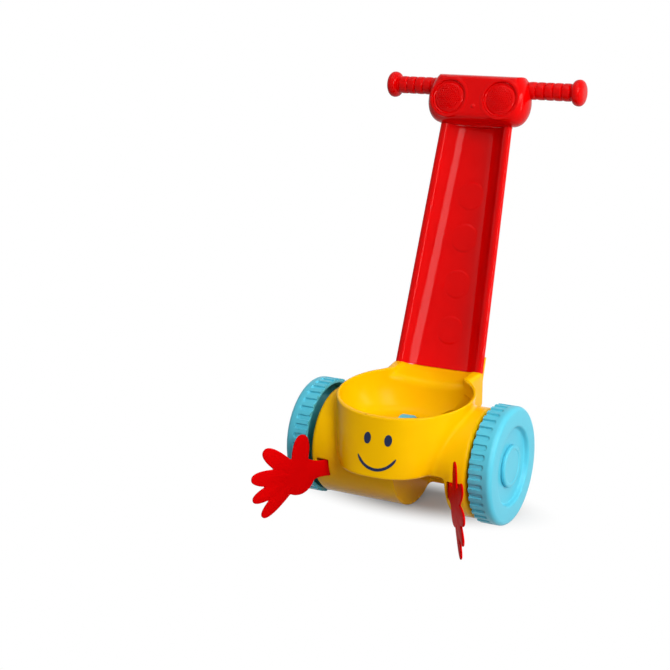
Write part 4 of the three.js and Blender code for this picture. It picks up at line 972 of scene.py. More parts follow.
    def ramp(self, p: np.ndarray) -> np.ndarray:
        """The room over the ramp from the slide's floor to the bowl.

        Args:
            p: Drawn points in millimetres.

        Returns:
            Signed distances, negative inside.
        """
        radius, centre, _ = self.slide.arc(self.slide.foot_half_width)
        c, s = math.cos(LAYOUT.lean), math.sin(LAYOUT.lean)
        floor = centre + np.sqrt(np.clip(radius**2 - p[:, 0] ** 2, 0, None))
        end_y, end_z = LAYOUT.foot_y + floor * c, LAYOUT.foot_z - floor * s
        lip = self.lip_height + self.lip_hollow * (p[:, 0] / self.lip_half_width) ** 2
        share = np.clip((p[:, 1] - self.lip_y) / np.clip(end_y - self.lip_y, 1, None), 0, 1.2)
        surface = mix(lip, end_z, share) - p[:, 2]
        side = np.abs(p[:, 0]) - self.lip_half_width
        back = LAYOUT.upright(p)[:, 1] - floor
        return meet(meet(meet(surface, side, 3.0), back), self.lip_y - 12 - p[:, 1])

    def hollow(self, p: np.ndarray, outer: np.ndarray) -> np.ndarray:
        """The room inside the shell, less the walls that stand in it.

        Args:
            p: Drawn points in millimetres.
            outer: Distances to the shell's outside.

        Returns:
            Signed distances, negative inside.
        """
        left, right = self.chute
        tub = meet(self.tub(p, self.wall), np.maximum(self.rim(p), self.tub_low - 1 - p[:, 2]))
        room = unite(self.drum(p, self.wall), tub)
        walls = box_field(p, (left - self.wall, -FAR, -FAR), (left, FAR, self.bowl_floor))
        top = self.chute_wall_top
        walls = unite(walls, box_field(p, (right, -FAR, -FAR), (right + self.wall, FAR, top)))
        low = (left - self.wall, self.chute_back, -FAR)
        high = (right + self.wall, self.chute_back + self.wall, top)
        walls = unite(walls, box_field(p, low, high))
        keep = unite(walls, meet(self.bowl(p, self.wall), self.rim(p)))
        mirrored = np.column_stack([np.abs(p[:, 0]), p[:, 1], p[:, 2]])
        for base in (self.slot_z[0] - self.shelf, self.slot_z[1]):
            low = (right + 1, self.pin_y - 8, base)
            high = (self.drum_half_length, self.pin_y + 8, base + self.shelf)
            keep = unite(keep, box_field(mirrored, low, high))
        return carve(room, meet(keep, outer))

    def cuts(self, p: np.ndarray) -> np.ndarray:
        """Everything that is open in the finished shell, apart from the bowl and the ramp.

        Args:
            p: Drawn points in millimetres.

        Returns:
            Signed distances, negative inside.
        """
        left, right = self.chute
        hole_x, hole_y, hole_radius = self.ball_hole
        mouth = box_field(p, (left, -FAR, -FAR), (right, self.chute_back, self.tub_low), self.mouth_round)
        mouth = unite(mouth, box_field(p, (left, -FAR, -FAR), (right, FAR, self.chute_foot)))
        foot, floor = (hole_x, hole_y, self.tub_low - 4), (hole_x, hole_y, self.bowl_floor)
        drop = rod_field(p, foot, floor, hole_radius)
        level, depth, slope = self.ball_hole_lean
        back = self.ball_hole_back + np.clip(level - p[:, 2], 0, depth) * slope
        low, high = self.bowl_floor - 2 * self.wall, self.ball_hole_top
        leaned = np.column_stack([p[:, 0], p[:, 1] - back, p[:, 2]])
        pocket = rod_field(leaned, (hole_x, hole_y, low), (hole_x, hole_y, high), hole_radius)
        inside = unite(self.tub(p, self.ball_hole_skin), self.drum(p, self.ball_hole_skin))
        drop = unite(drop, meet(pocket, inside))
        reach, start, end = self.kicker_slot
        open_ = unite(unite(mouth, drop), rod_field(p, (start, 0, 0), (end, 0, 0), reach, 1.0))
        mirrored = np.column_stack([np.abs(p[:, 0]), p[:, 1], p[:, 2]])
        low = (self.slot_x[0], -FAR, self.slot_z[0])
        high = (self.slot_x[1], self.pin_y, self.slot_z[1])
        slot = box_field(mirrored, low, high, 1.0)
        pin = rod_field(mirrored, (self.pin_x, self.pin_y, -34), (self.pin_x, self.pin_y, -2), 2.7)
        open_ = unite(unite(open_, slot), pin)
        ends = self.drum_half_length
        open_ = unite(open_, rod_field(p, (-ends - 5, 0, 0), (-ends + 5, 0, 0), self.bush_bore))
        open_ = unite(open_, rod_field(p, (left - 5, 0, 0), (left + 1, 0, 0), self.bush_bore))
        open_ = unite(open_, rod_field(p, (right - 1, 0, 0), (ends + 5, 0, 0), 4.3))
        low = (self.cover_x[0], self.cover_y[0], -FAR)
        high = (self.cover_x[1], self.cover_y[1], self.cover_level)
        return unite(open_, box_field(p, low, high))

    def ledges(self, p: np.ndarray) -> np.ndarray:
        """Steps inside the drum that the underside cover lies on.

        Args:
            p: Drawn points in millimetres.

        Returns:
            Signed distances, negative inside.
        """
        outer = self.drum_radius - self.wall - self.fit
        aside = np.hypot(p[:, 1], p[:, 2] + self.drum_drop)
        ring = np.abs(aside - outer + self.wall / 2) - self.wall / 2
        made = np.full(len(p), FAR)
        for start, end in (
            (self.cover_x[0] - 5, self.cover_x[0] + self.ledge_width),
            (self.cover_x[1] - self.ledge_width, self.chute[0] - 1),
        ):
            zone = box_field(p, (start, self.cover_y[0], -FAR), (end, self.cover_y[1], self.cover_level))
            made = unite(made, meet(ring, zone))
        return made

    def form(self, p: np.ndarray) -> np.ndarray:
        """Signed distances to the whole shell.

        Args:
            p: Drawn points in millimetres.

        Returns:
            Signed distances, negative inside.
        """
        upper = meet(self.tub(p, 0.0), self.tub_low - p[:, 2], 3.0)
        upper = meet(upper, self.rim(p), self.edge)
        outer = unite(self.drum(p, 0.0), upper, self.crease)
        solid = unite(outer, self.receiver(p), 3.0)
        solid = carve(solid, self.hollow(p, outer))
        solid = carve(solid, unite(self.bowl(p, 0.0), self.ramp(p), self.lip_blend), self.edge)
        solid = carve(solid, self.cuts(p), self.edge)
        return unite(solid, self.ledges(p))

    def build(self) -> None:
        """Makes the shell."""
        low = (-self.drum_half_length, -105.0, -68.0)
        high = (self.drum_half_length, 108.0, 97.0)
        add_piece("shell", skin_of(self.form, low, high, self.cell), YELLOW, Body.CHASSIS, ["body_shell"])


@dataclass
class FacePrint:
    """A plain printed smile on the face panel."""

    shell: BodyShell
    lift: float = 0.25
    eyes: tuple[tuple[float, float], ...] = ((-9.0, 40.0), (17.0, 40.0))
    eye_half: tuple[float, float] = (4.6, 6.6)
    smile_middle: tuple[float, float] = (4.5, 33.0)
    smile_radius: float = 27.0
    smile_turns: tuple[float, float] = (math.radians(208), math.radians(332))
    smile_half_width: float = 1.7

    def on_panel(self, flat: np.ndarray) -> np.ndarray:
        """Sets flat points, across and up, onto the panel's front.

        Args:
            flat: Points across and up.

        Returns:
            The points a little in front of the panel.
        """
        reach = np.full(len(flat), -120.0)
        for _ in range(60):
            gap = self.shell.tub(np.column_stack([flat[:, 0], reach, flat[:, 1]]), 0.0) - self.lift
            reach = reach + np.clip(gap, -4, 4) * 0.8
        return np.column_stack([flat[:, 0], reach, flat[:, 1]])

    def fan(self, outline: np.ndarray, rings: int = 6) -> Skin:
        """A filled outline about its middle, laid on the panel.

        Args:
            outline: Corners across and up.
            rings: Rings from the middle to the edge.

        Returns:
            The skin on the panel.
        """
        middle = outline.mean(axis=0)
        flat = np.concatenate([middle + (outline - middle) * share for share in np.linspace(0.02, 1, rings)])
        count = len(outline)
        faces = [tuple(range(count)), *map(tuple, strips(rings, count).tolist())]
        return Skin(self.on_panel(flat), faces)

    def build(self) -> None:
        """Makes the print."""
        turns = np.linspace(0, 2 * math.pi, 40, endpoint=False)
        ring = np.column_stack([np.cos(turns), np.sin(turns)])
        for number, (x, z) in enumerate(self.eyes, 1):
            outline = ring * self.eye_half + (x, z)
            add_piece(f"print_eye_{number}", self.fan(outline), INK_NAVY, Body.CHASSIS)
        add_piece("print_smile", self.smile(), INK_NAVY, Body.CHASSIS)

    def smile(self) -> Skin:
        """The curved stroke of the smile with round ends.

        Returns:
            The skin on the panel.
        """
        turns = np.linspace(*self.smile_turns, 60)
        taper = np.sqrt(np.clip(1 - np.linspace(-1, 1, 60) ** 8, 0.02, 1)) * self.smile_half_width
        rows = []
        for share in np.linspace(-1, 1, 5):
            reach = self.smile_radius + taper * share
            rows.append(np.column_stack([reach * np.cos(turns), reach * np.sin(turns)]) + self.smile_middle)
        flat = np.concatenate(rows)
        faces = []
        for row in range(4):
            for i in range(59):
                a = row * 60 + i
                faces.append((a, a + 60, a + 61, a + 1))
        return Skin(self.on_panel(flat), faces)


@dataclass
class RunningGear:
    """Main wheels with their caps, axles, bushes and the kicker."""

    radius: float = 70.0
    width: float = 27.5
    inner_x: float = 105.6
    tread_depth: float = 2.2
    tread_width: float = 17.0
    lugs: int = 38
    lug_share: float = 0.5
    steps_per_lug: int = 14
    shoulder: float = 6.0
    recess_radius: float = 45.0
    recess_depth: float = 6.0
    wall: float = 3.0
    hub_radius: float = 11.0
    cap_radius: float = 25.0
    cap_height: float = 4.5
    axle_radius: float = 4.0
    fit: float = 0.3
    bush_radius: float = 6.3
    flange_radius: float = 8.8
    flange: float = 1.2
    kicker_x: float = -5.5
    kicker_width: float = 17.0
    kicker_radius: float = 41.0
    kicker_lobes: int = 3
    kicker_swell: float = 0.26
    bush_places: dict[str, tuple[float, float]] = field(default_factory=lambda: {
        "outer_axle_bush": (-101.3, -98.0), "inner_axle_bush": (4.7, 8.0), "right_wheel_bush": (106.3, 127.1),
    })

    @property
    def outer_x(self) -> float:
        """Where the wheel's outer face is."""
        return self.inner_x + self.width

    @property
    def web_x(self) -> float:
        """Where the recess's floor is."""
        return self.outer_x - self.recess_depth

    def wheel_profile(self, bore: float) -> tuple[list[tuple[float, float]], list[bool]]:
        """The wheel's profile and which of its points lie on the tread.

        Args:
            bore: Radius of the hole for the axle or its bush.

        Returns:
            Radius and x of each point, and a mark for each that the lugs shape.
        """
        tyre = self.radius - self.tread_depth
        rim = tyre - self.wall
        inner, outer = self.inner_x, self.outer_x
        web, pocket = self.web_x - self.wall, self.recess_radius + self.wall
        inside = rounded_corners([
            (bore, self.web_x), (bore, inner + 1), (self.hub_radius, inner + 1), (self.hub_radius, web),
            (pocket, web), (pocket, outer - self.wall), (rim - self.shoulder, outer - self.wall),
            (rim, outer - self.wall - self.shoulder), (rim, inner), (tyre - 0.6, inner),
        ], 0.8)
        tread_end = inner + self.tread_width
        across = np.concatenate([
            [inner + 0.3, inner + 0.8, inner + 1.6], np.linspace(inner + 3, tread_end - 4, 6),
            np.linspace(tread_end - 3.4, tread_end + 1.6, 12),
        ])
        tread = [(self.radius, float(x)) for x in across]
        turns = np.linspace(0, math.pi / 2, 8)
        bend = [(
            self.radius - self.shoulder * (1 - math.cos(t)), outer - self.shoulder * (1 - math.sin(t)),
        ) for t in turns]
        face = rounded_corners([
            bend[-1], (self.recess_radius + 2, outer), (self.recess_radius, self.web_x), (bore, self.web_x),
        ], 2.4, 6)[1:]
        profile = [*inside, *tread, *bend, *face]
        marks = [False] * len(inside) + [True] * len(tread) + [False] * (len(bend) + len(face))
        return profile, marks

    def wheel(self, bore: float) -> Skin:
        """The right wheel with slots that run in from its inner edge and end round.

        Args:
            bore: Radius of the hole for the axle or its bush.

        Returns:
            The wheel's skin.
        """
        profile, marks = self.wheel_profile(bore)
        pitch = 2 * math.pi / self.lugs
        slot_half = pitch * (1 - self.lug_share) / 2 * self.radius
        end = self.inner_x + self.tread_width - slot_half

        def reach(turns: np.ndarray, number: int) -> np.ndarray:
            """How far a ring of the tread sinks at each turn.

            Args:
                turns: Turns round the ring.
                number: The ring's place in the profile.

            Returns:
                Changes of the radius.
            """
            if not marks[number]:
                return np.zeros(len(turns))
            x = profile[number][1]
            around = (np.mod(turns / pitch + 0.5, 1) - 0.5) * pitch * self.radius
            gap = np.hypot(around, max(0.0, x - end)) - slot_half
            share = np.clip(0.5 - gap / 0.9, 0, 1)
            return -self.tread_depth * share * share * (3 - 2 * share)

        return weld_ends(turned(profile, self.lugs * self.steps_per_lug, reach))

    def cap(self) -> Skin:
        """The right hub cap.

        Returns:
            The cap's skin.
        """
        seat = self.web_x + self.fit
        top = seat + self.cap_height
        pocket = self.axle_radius + self.fit
        end = seat + self.cap_height / 3 + 0.5
        r = self.cap_radius
        profile = rounded_corners([
            (0, end), (pocket, end), (pocket, seat), (r, seat), (r, top - 1.2), (r - 2, top), (r - 4.5, top),
            (r - 5.5, top - 0.7), (0, top - 0.5),
        ], 0.8)
        return weld_ends(turned(profile, 72))

    def rod(self, start: float, end: float) -> Skin:
        """An axle between two places, with broken edges."""
        return plain_rod(self.axle_radius, start, end, 0.5, 40)

    def bush(self, start: float, end: float) -> Skin:
        """A flanged bush with its flange at the low end.

        Args:
            start: Where its sleeve starts.
            end: Where it ends.

        Returns:
            The bush's skin.
        """
        bore = self.axle_radius + self.fit
        first = start - self.flange
        r, wide = self.bush_radius, self.flange_radius
        profile = [
            (bore, first), (wide, first), (wide, start), (r, start), (r, end), (bore, end), (bore, first),
        ]
        return weld_ends(turned(rounded_corners(profile, 0.4, 3), 48))

    def kicker_form(self, p: np.ndarray) -> np.ndarray:
        """Signed distances to the lobed kicker.

        Args:
            p: Drawn points in millimetres.

        Returns:
            Signed distances, negative inside.
        """
        aside = np.hypot(p[:, 1], p[:, 2])
        turn = np.arctan2(p[:, 2], p[:, 1])
        swell = 1 - self.kicker_swell * (1 - np.cos(self.kicker_lobes * (turn - math.pi / 2))) / 2
        rim = (aside - self.kicker_radius * swell) * 0.9
        sides = np.abs(p[:, 0] - self.kicker_x) - self.kicker_width / 2
        return carve(meet(rim, sides, 3.0), aside - self.axle_radius - self.fit, 0.6)

    def build(self) -> None:
        """Makes the gear of both sides."""
        end = self.web_x + self.fit + self.cap_height / 3
        right = self.wheel(self.bush_radius + self.fit)
        left = self.wheel(self.axle_radius + self.fit).mirrored()
        add_piece("wheel_right", right, BLUE, Body.FREE_WHEEL, ["right_wheel"], sharp=45.0)
        add_piece("wheel_left", left, BLUE, Body.DRIVE, ["left_wheel"], sharp=45.0)
        add_piece("hub_cap_right", self.cap(), BLUE, Body.FREE_WHEEL, ["right_hub_cap"])
        add_piece("hub_cap_left", self.cap().mirrored(), BLUE, Body.DRIVE, ["left_hub_cap"])
        add_piece("axle_drive", self.rod(-end, 7.7), STEEL, Body.DRIVE, ["drive_axle"])
        add_piece("axle_stub", self.rod(74.3, end), STEEL, Body.CHASSIS, ["stub_axle"])
        for node, (start, last) in self.bush_places.items():
            body = Body.FREE_WHEEL if node.startswith("right") else Body.CHASSIS
            add_piece(f"{node}_turned", self.bush(start, last), NYLON, body, [node])
        reach, half = self.kicker_radius, self.kicker_width / 2
        low = (self.kicker_x - half, -reach, -reach)
        high = (self.kicker_x + half, reach, reach)
        add_piece("kicker_lobed", skin_of(self.kicker_form, low, high, 1.2), BLUE, Body.DRIVE, ["kicker"])


@dataclass
class OpenHands:
    """Both flat hands with spread fingers and the pins that they swing on."""

    spread: float = math.radians(34)
    thick: float = 3.4
    root: tuple[float, float] = (79.0, -60.2)
    wrist: tuple[float, float] = (-29.0, -8.0)
    wrist_plain: float = 12.0
    wrist_length: float = 32.0
    wrist_flare: float = 4.0
    palm: tuple[float, float] = (40.0, -23.0)
    palm_half: tuple[float, float] = (22.0, 24.0)
    fingers: tuple[tuple[float, float, float, float], ...] = (
        (51, 97, 25.2, 11.2), (58.6, 41, 29.6, 10.8), (60.8, 5, 30, 10.6), (63, -20.5, 30, 9.3),
        (64.3, -43, 30, 8.9),
    )
    finger_fullness: float = 2.4
    pin: tuple[float, float] = (82.0, -50.0)
    pin_radius: float = 2.4
    pin_reach: float = 3.3
    barrel: float = 4.8
    fit: float = 0.3
    cell: float = 0.9

    def flat(self, q: np.ndarray) -> np.ndarray:
        """Signed distances to the hand's outline, along and up.

        Args:
            q: Points along the hand and up.

        Returns:
            Signed distances, negative inside.
        """
        made = oval_field(q - self.palm, *[np.full(len(q), v) for v in self.palm_half], np.full(len(q), 2.0))
        low, high = self.wrist
        plain, length, flare = self.wrist_plain, self.wrist_length, self.wrist_flare
        wrist = np.array([
            (0, low), (plain, low), (length, low - flare), (length, high + flare), (plain, high), (0, high),
        ])
        made = unite(made, outline_field(q, wrist), 4.0)
        for reach, angle, half_length, half_width in self.fingers:
            turn = math.radians(angle)
            c, s = math.cos(turn), math.sin(turn)
            away = q - self.palm
            local = np.column_stack([away @ (c, s) - reach + half_length, away @ (-s, c)])
            sizes = (half_length, half_width, self.finger_fullness)
            finger = oval_field(local, *[np.full(len(q), v) for v in sizes])
            made = unite(made, finger, 1.6)
        return made

    def form(self, p: np.ndarray) -> np.ndarray:
        """Signed distances to the right hand.

        Args:
            p: Drawn points in millimetres.

        Returns:
            Signed distances, negative inside.
        """
        c, s = math.cos(self.spread), math.sin(self.spread)
        dx, dy = p[:, 0] - self.root[0], p[:, 1] - self.root[1]
        q = np.column_stack([dx * s - dy * c, p[:, 2]])
        through = np.abs(dx * c + dy * s) - self.thick / 2
        outline = self.flat(q)
        swell = 0.5 * np.clip((outline + 9) / 9, 0, 1)
        plate = meet(outline, through + swell, 1.8)
        low, high = self.wrist
        neck = box_field(
            p, (self.root[0] - self.thick / 2, self.root[1] - 1, low),
            (self.pin[0] + self.thick / 2, self.pin[1], high), 0.6,
        )
        barrel = rod_field(p, (*self.pin, low), (*self.pin, high), self.barrel, 0.6)
        made = unite(plate, unite(neck, barrel, 0.8), 0.6)
        bore = rod_field(p, (*self.pin, low - 1), (*self.pin, high + 1), self.pin_radius + self.fit)
        return carve(made, bore)

    def build(self) -> None:
        """Makes both hands and pins."""
        skin = skin_of(self.form, (76.5, -145.0, -69.5), (137.0, -44.5, 28.5), self.cell)
        add_piece("hand_right", skin, RED_SATIN, Body.RIGHT_HAND, ["right_hand"])
        add_piece("hand_left", skin.mirrored(), RED_SATIN, Body.LEFT_HAND, ["left_hand"])
        low, high = self.wrist[0] - self.pin_reach, self.wrist[1] + self.pin_reach
        rod = plain_rod(self.pin_radius, low, high, 0.4, 32)
        for side in Side:
            place = np.array([self.pin[0] * side.value, self.pin[1], 0.0])
            pin = rod.moved(lambda p, place=place: place + np.column_stack([p[:, 2], -p[:, 1], p[:, 0]]))
            add_piece(f"hand_pin_{side.word}", pin, STEEL, Body.CHASSIS, [f"{side.word}_hand_pin"])


@dataclass
class Head:
    """The two head mouldings with their perforated grilles and screws, in the slide's frame."""

    slide: SlideRun
    fit: float = 0.3
    wall: float = 3.0
    height: float = 61.8
    low_half: float = 46.0
    half: float = 66.0
    top_half: float = 55.0
    widest: float = 0.46
    front: float = -16.0
    depth: float = 41.0
    side_crest: float = 3.0
    top_crest: float = 12.0
    front_draw: float = 9.5
    rear_draw: float = 12.0
    socket: tuple[float, float, float, float] = (38.0, 0.0, 31.0, 28.0)
    bar: tuple[float, float] = (12.0, 47.8)
    bar_bore: float = 8.3
    grip_bore: float = 11.3
    grip_start: float = 54.7
    grille_x: float = 34.0
    grille_height: float = 29.0
    grille_radius: float = 21.0
    grille_dome: float = 2.6
    grille_back: float = 4.6
    brim_height: float = 0.05
    hole_pitch: float = 2.7
    hole_radius: float = 0.85
    hole_depth: float = 1.4
    ring_groove: tuple[float, float, float] = (18.9, 1.7, 1.3)
    nub_height: float = 18.7
    nub_radius: float = 3.0
    screws: tuple[tuple[float, float], ...] = ((-57, 29), (57, 29), (-8, 33), (8, 33))
    screw_seat: float = 15.0
    screw_tip: float = -8.0
    tongue: tuple[float, float, float] = (24.0, 3.6, 18.0)
    cell: float = 0.9

    @property
    def low(self) -> float:
        """Where the head starts above the slide's foot."""
        return self.slide.length + self.fit

    def outline(self) -> np.ndarray:
        """The head's outline, across and along the slide.

        Returns:
            Corners in order, two columns.
        """
        low, top = self.low, self.low + self.height
        widest = low + self.height * self.widest
        full, near = self.half, self.half * 0.9
        half = np.array([
            (self.low_half, low), (near, low), (full, mix(low, widest, 0.45)), (full, widest),
            (full, mix(widest, top, 0.4)), (near, mix(widest, top, 0.9)), (self.top_half, top),
        ])
        share = np.linspace(0, 1, 16)[:, None]
        rest = 1 - share
        right = []
        for a, b, c, d in (half[0:4], half[3:7]):
            right.append(a * rest**3 + 3 * b * share * rest**2 + 3 * c * share**2 * rest + d * share**3)
        right = np.concatenate([right[0], right[1][1:]])
        return np.concatenate([right, right[::-1] * (-1, 1)])

    def drawn_in(self, y: np.ndarray, inset: float, crest: float) -> tuple[np.ndarray, np.ndarray]:
        """How far and how steeply the head draws in to the front and back of a crest.

        Args:
            y: Depths in the slide's frame.
            inset: What the whole form is drawn in by.
            crest: The depth where the head is at its fullest.

        Returns:
            The draw and its slope at each depth.
        """
        ahead = y < crest
        length = np.where(ahead, crest - self.front, self.front + self.depth - crest) - inset
        draw = np.where(ahead, self.front_draw, self.rear_draw)
        share = np.clip(np.abs(y - crest) / length, 0, 0.99)
        level = np.sqrt(1 - share * share)
        return inset + draw * (1 - level), np.clip(draw / length * share / level, 0, 3)

    def whole(self, q: np.ndarray, inset: float) -> np.ndarray:
        """The closed head, drawn in by an inset, with its sides and its top fullest at their crests.

        Args:
            q: Points in the slide's frame.
            inset: How far the form is drawn in.

        Returns:
            Signed distances, negative inside.
        """
        across, slope = self.drawn_in(q[:, 1], inset, self.side_crest)
        above, _ = self.drawn_in(q[:, 1], inset, self.top_crest)
        widest, room = self.low + self.height * self.widest, self.height * (1 - self.widest)
        foot = self.height * self.widest
        rise = q[:, 2] - widest
        stretch = np.where(rise > 0, room / (room - above), foot / (foot - across))
        flat = np.column_stack([np.abs(q[:, 0]) + across, widest + rise * stretch])
        side = outline_field(flat, self.outline()) / np.sqrt(1 + slope * slope)
        front, back = self.front + inset, self.front + self.depth - inset
        return meet(side, np.maximum(front - q[:, 1], q[:, 1] - back), 1.5)

    def form(self, q: np.ndarray) -> np.ndarray:
        """Signed distances to both halves together.

        Args:
            q: Points in the slide's frame.

        Returns:
            Signed distances, negative inside.
        """
        whole = self.whole(q, 0.0)
        nub = np.linalg.norm(q - (0, self.front + 1.6, self.low + self.nub_height), axis=1) - self.nub_radius
        shell = carve(unite(whole, nub, 0.8), self.whole(q, self.wall))
        back = self.front + self.depth
        for x, rise in self.screws:
            z = self.low + rise
            shell = unite(shell, meet(rod_field(q, (x, self.front, z), (x, back, z), 5.4), whole))
        half, start, end, rise = self.socket
        shell = unite(shell, box_field(q, (-half, start, self.low), (half, end, self.low + rise), 3.0), 2.0)
        for x, rise in self.screws:
            z = self.low + rise
            shell = carve(shell, rod_field(q, (x, self.screw_seat - 0.3, z), (x, back + 9, z), 3.3), 0.6)
        y, z = self.bar[0], self.low + self.bar[1]
        shell = carve(shell, rod_field(q, (-FAR, y, z), (FAR, y, z), self.bar_bore))
        mirrored = np.column_stack([np.abs(q[:, 0]), q[:, 1], q[:, 2]])
        shell = carve(shell, rod_field(mirrored, (self.grip_start, y, z), (FAR, y, z), self.grip_bore), 0.6)
        centre = (self.grille_x, 0.0, self.low + self.grille_height)
        aside = np.hypot(mirrored[:, 0] - centre[0], mirrored[:, 2] - centre[2])
        brim = np.abs(aside - self.grille_radius - 1.8) - 1.2
        brim = np.hypot(np.clip(brim, 0, None), q[:, 1] - self.front - 1.3 + self.brim_height) - 1.3
        shell = unite(shell, brim, 2.0)
        hole = meet(aside - self.grille_radius - self.fit, q[:, 1] - self.front - self.wall - 1)
        shell = carve(shell, hole, 0.8)
        room = np.abs(q[:, 1] - self.front - self.wall - 1.1) - 1.1
        shell = carve(shell, meet(aside - self.grille_radius - 2.5, room))
        half, thick, length = self.tongue
        low = (-half - self.fit, self.slide.depth - self.fit, self.low - 3)
        high = (half + self.fit, self.slide.depth + thick + self.fit, self.low + length)
        return carve(shell, box_field(q, low, high))

    def grille(self, x: float) -> Skin:
        """A domed disc with rows of small round dimples, inside a ring groove.

        Args:
            x: Where its middle is across the head.

        Returns:
            The grille's skin in the slide's frame.
        """
        face = self.front + 0.6
        steps = 200
        grid = np.linspace(-1, 1, steps + 1)
        u, v = (part.ravel() for part in np.meshgrid(grid, grid, indexing="ij"))
        flat = np.column_stack([u * np.sqrt(1 - v**2 / 2), v * np.sqrt(1 - u**2 / 2)]) * self.grille_radius
        aside = np.hypot(flat[:, 0], flat[:, 1])
        groove, groove_half, groove_depth = self.ring_groove
        y = face - self.grille_dome * np.clip(1 - (aside / (groove - groove_half)) ** 2, 0, 1)
        y += groove_depth * np.clip(1 - np.abs(aside - groove) / groove_half, 0, 1)
        y += 0.6 * np.clip((aside - self.grille_radius + 0.8) / 0.8, 0, 1) ** 2
        row = np.round(flat[:, 1] / (self.hole_pitch * math.sqrt(0.75)))
        shift = np.where(row % 2 == 0, 0.0, 0.5)
        column = np.round(flat[:, 0] / self.hole_pitch - shift) + shift
        centre = np.column_stack([column * self.hole_pitch, row * self.hole_pitch * math.sqrt(0.75)])
        gap = np.linalg.norm(flat - centre, axis=1)
        holed = np.linalg.norm(centre, axis=1) < groove - groove_half - self.hole_radius * 1.6
        y += np.where(holed, self.hole_depth * np.clip((self.hole_radius - gap) / 0.3, 0, 1), 0)
        z0 = self.low + self.grille_height
        front = np.column_stack([flat[:, 0] + x, y, flat[:, 1] + z0])
        back = front.copy()
        back[:, 1] = self.front + self.grille_back
        count = steps + 1
        number = np.arange(count * count).reshape(count, count)
        corners = (number[:-1, :-1], number[1:, :-1], number[1:, 1:], number[:-1, 1:])
        quads = np.column_stack([corner.ravel() for corner in corners])
        edge = np.concatenate([number[:-1, 0], number[-1, :-1], number[:0:-1, -1], number[0, :0:-1]])
        after = np.roll(edge, -1)
        total = count * count
        rim = np.column_stack([edge, edge + total, after + total, after])
        return Skin(np.concatenate([front, back]), np.concatenate([quads, quads[:, ::-1] + total, rim]))

    def build(self) -> None:
        """Makes the head's pieces."""
        split, back = self.bar[0], self.socket[2]
        top = self.low + self.height
        gap = self.fit / 2
        halves = {
            "head_front": (lambda q: meet(self.form(q), q[:, 1] - split + gap, 0.5), self.front - 1.5, split),
            "head_rear": (lambda q: meet(self.form(q), split + gap - q[:, 1], 0.5), split, back),
        }
        for node, (form, start, end) in halves.items():
            skin = skin_of(form, (-self.half, start, self.low), (self.half, end, top), self.cell)
            add_piece(f"{node}_moulding", skin.moved(LAYOUT.leaning), RED, Body.CHASSIS, [node])
        for side in Side:
            skin = self.grille(self.grille_x * side.value)
            name = f"{side.word}_grille"
            add_piece(f"{name}_perforated", skin.moved(LAYOUT.leaning), RED, Body.CHASSIS, [name], sharp=70.0)


@dataclass
class Handlebar:
    """The bar's tube, ribbed grips and mushroom knobs, in the slide's frame."""

    head: Head
    half_length: float = 131.0
    radius: float = 8.0
    wall: float = 2.0
    fit: float = 0.3
    grip_start: float = 55.0
    grip_radius: float = 11.0
    groove: float = 1.3
    ribs: int = 5
    knob_radius: float = 16.2
    knob_length: float = 14.5
    plug_length: float = 10.0
    neck_radius: float = 8.0

    def placed(self, skin: Skin) -> Skin:
        """A form about the bar's axis at its place on the walker."""
        shift = np.array([0.0, self.head.bar[0], self.head.low + self.head.bar[1]])
        return skin.moved(lambda p: LAYOUT.leaning(p + shift))

    def grip(self) -> Skin:
        """The right grip sleeve: swelling ribs between narrow grooves.

        Returns:
            The grip's skin about the bar's axis.
        """
        end = self.half_length - self.knob_length - self.fit
        bore = self.radius + self.fit
        pitch = (end - self.grip_start) / (self.ribs + 0.5)
        across = np.linspace(self.grip_start, end, 130)
        share = np.mod((across - self.grip_start) / pitch - 0.36, 1.0)
        dip = np.exp(-((share / 0.07) ** 2)) + np.exp(-(((share - 1.0) / 0.07) ** 2))
        slope = 0.5 * (1 - np.abs(2 * share - 1) ** 2)
        radii = self.grip_radius - self.groove * np.clip(dip, 0, 1) - 0.5 + slope
        radii = np.minimum(radii, self.grip_radius)
        ribbed = zip(radii.tolist(), across.tolist())
        profile = [(bore, self.grip_start), *ribbed, (bore, end), (bore, self.grip_start)]
        return weld_ends(turned(profile, 72))

    def knob(self) -> Skin:
        """The right knob with the plug that holds it in the tube.

        Returns:
            The knob's skin about the bar's axis.
        """
        start = self.half_length - self.knob_length
        plug = self.radius - self.wall - self.fit
        turns = np.linspace(0, math.pi, 40)
        swell = self.knob_radius - self.neck_radius
        curve = []
        for turn in turns[:-1]:
            rise = max(0.0, math.sin(turn))
            full = self.neck_radius if turn < math.pi / 2 else self.neck_radius * rise**0.5
            reach = full + swell * rise**0.6
            curve.append((reach, start + self.knob_length * (1 - math.cos(turn)) / 2))
        profile = [(0, start - self.plug_length), (plug, start - self.plug_length), (plug, start), *curve]
        profile.append((0, start + self.knob_length))
        return weld_ends(turned(profile, 72))

    def build(self) -> None:
        """Makes the bar's pieces."""
        end = self.half_length - self.knob_length - self.fit
        inner = self.radius - self.wall
        tube = [(inner, -end), (self.radius, -end), (self.radius, end), (inner, end), (inner, -end)]
        skin = self.placed(weld_ends(turned(tube, 48)))
        add_piece("bar_tube", skin, STEEL, Body.CHASSIS, ["handlebar_tube"])
        for side in Side:
            for word, skin in (("grip", self.grip()), ("end_knob", self.knob())):
                shown = skin if side is Side.RIGHT else skin.mirrored()
                node = f"{side.word}_{word}"
                add_piece(f"{node}_turned", self.placed(shown), RED, Body.CHASSIS, [node], sharp=60.0)


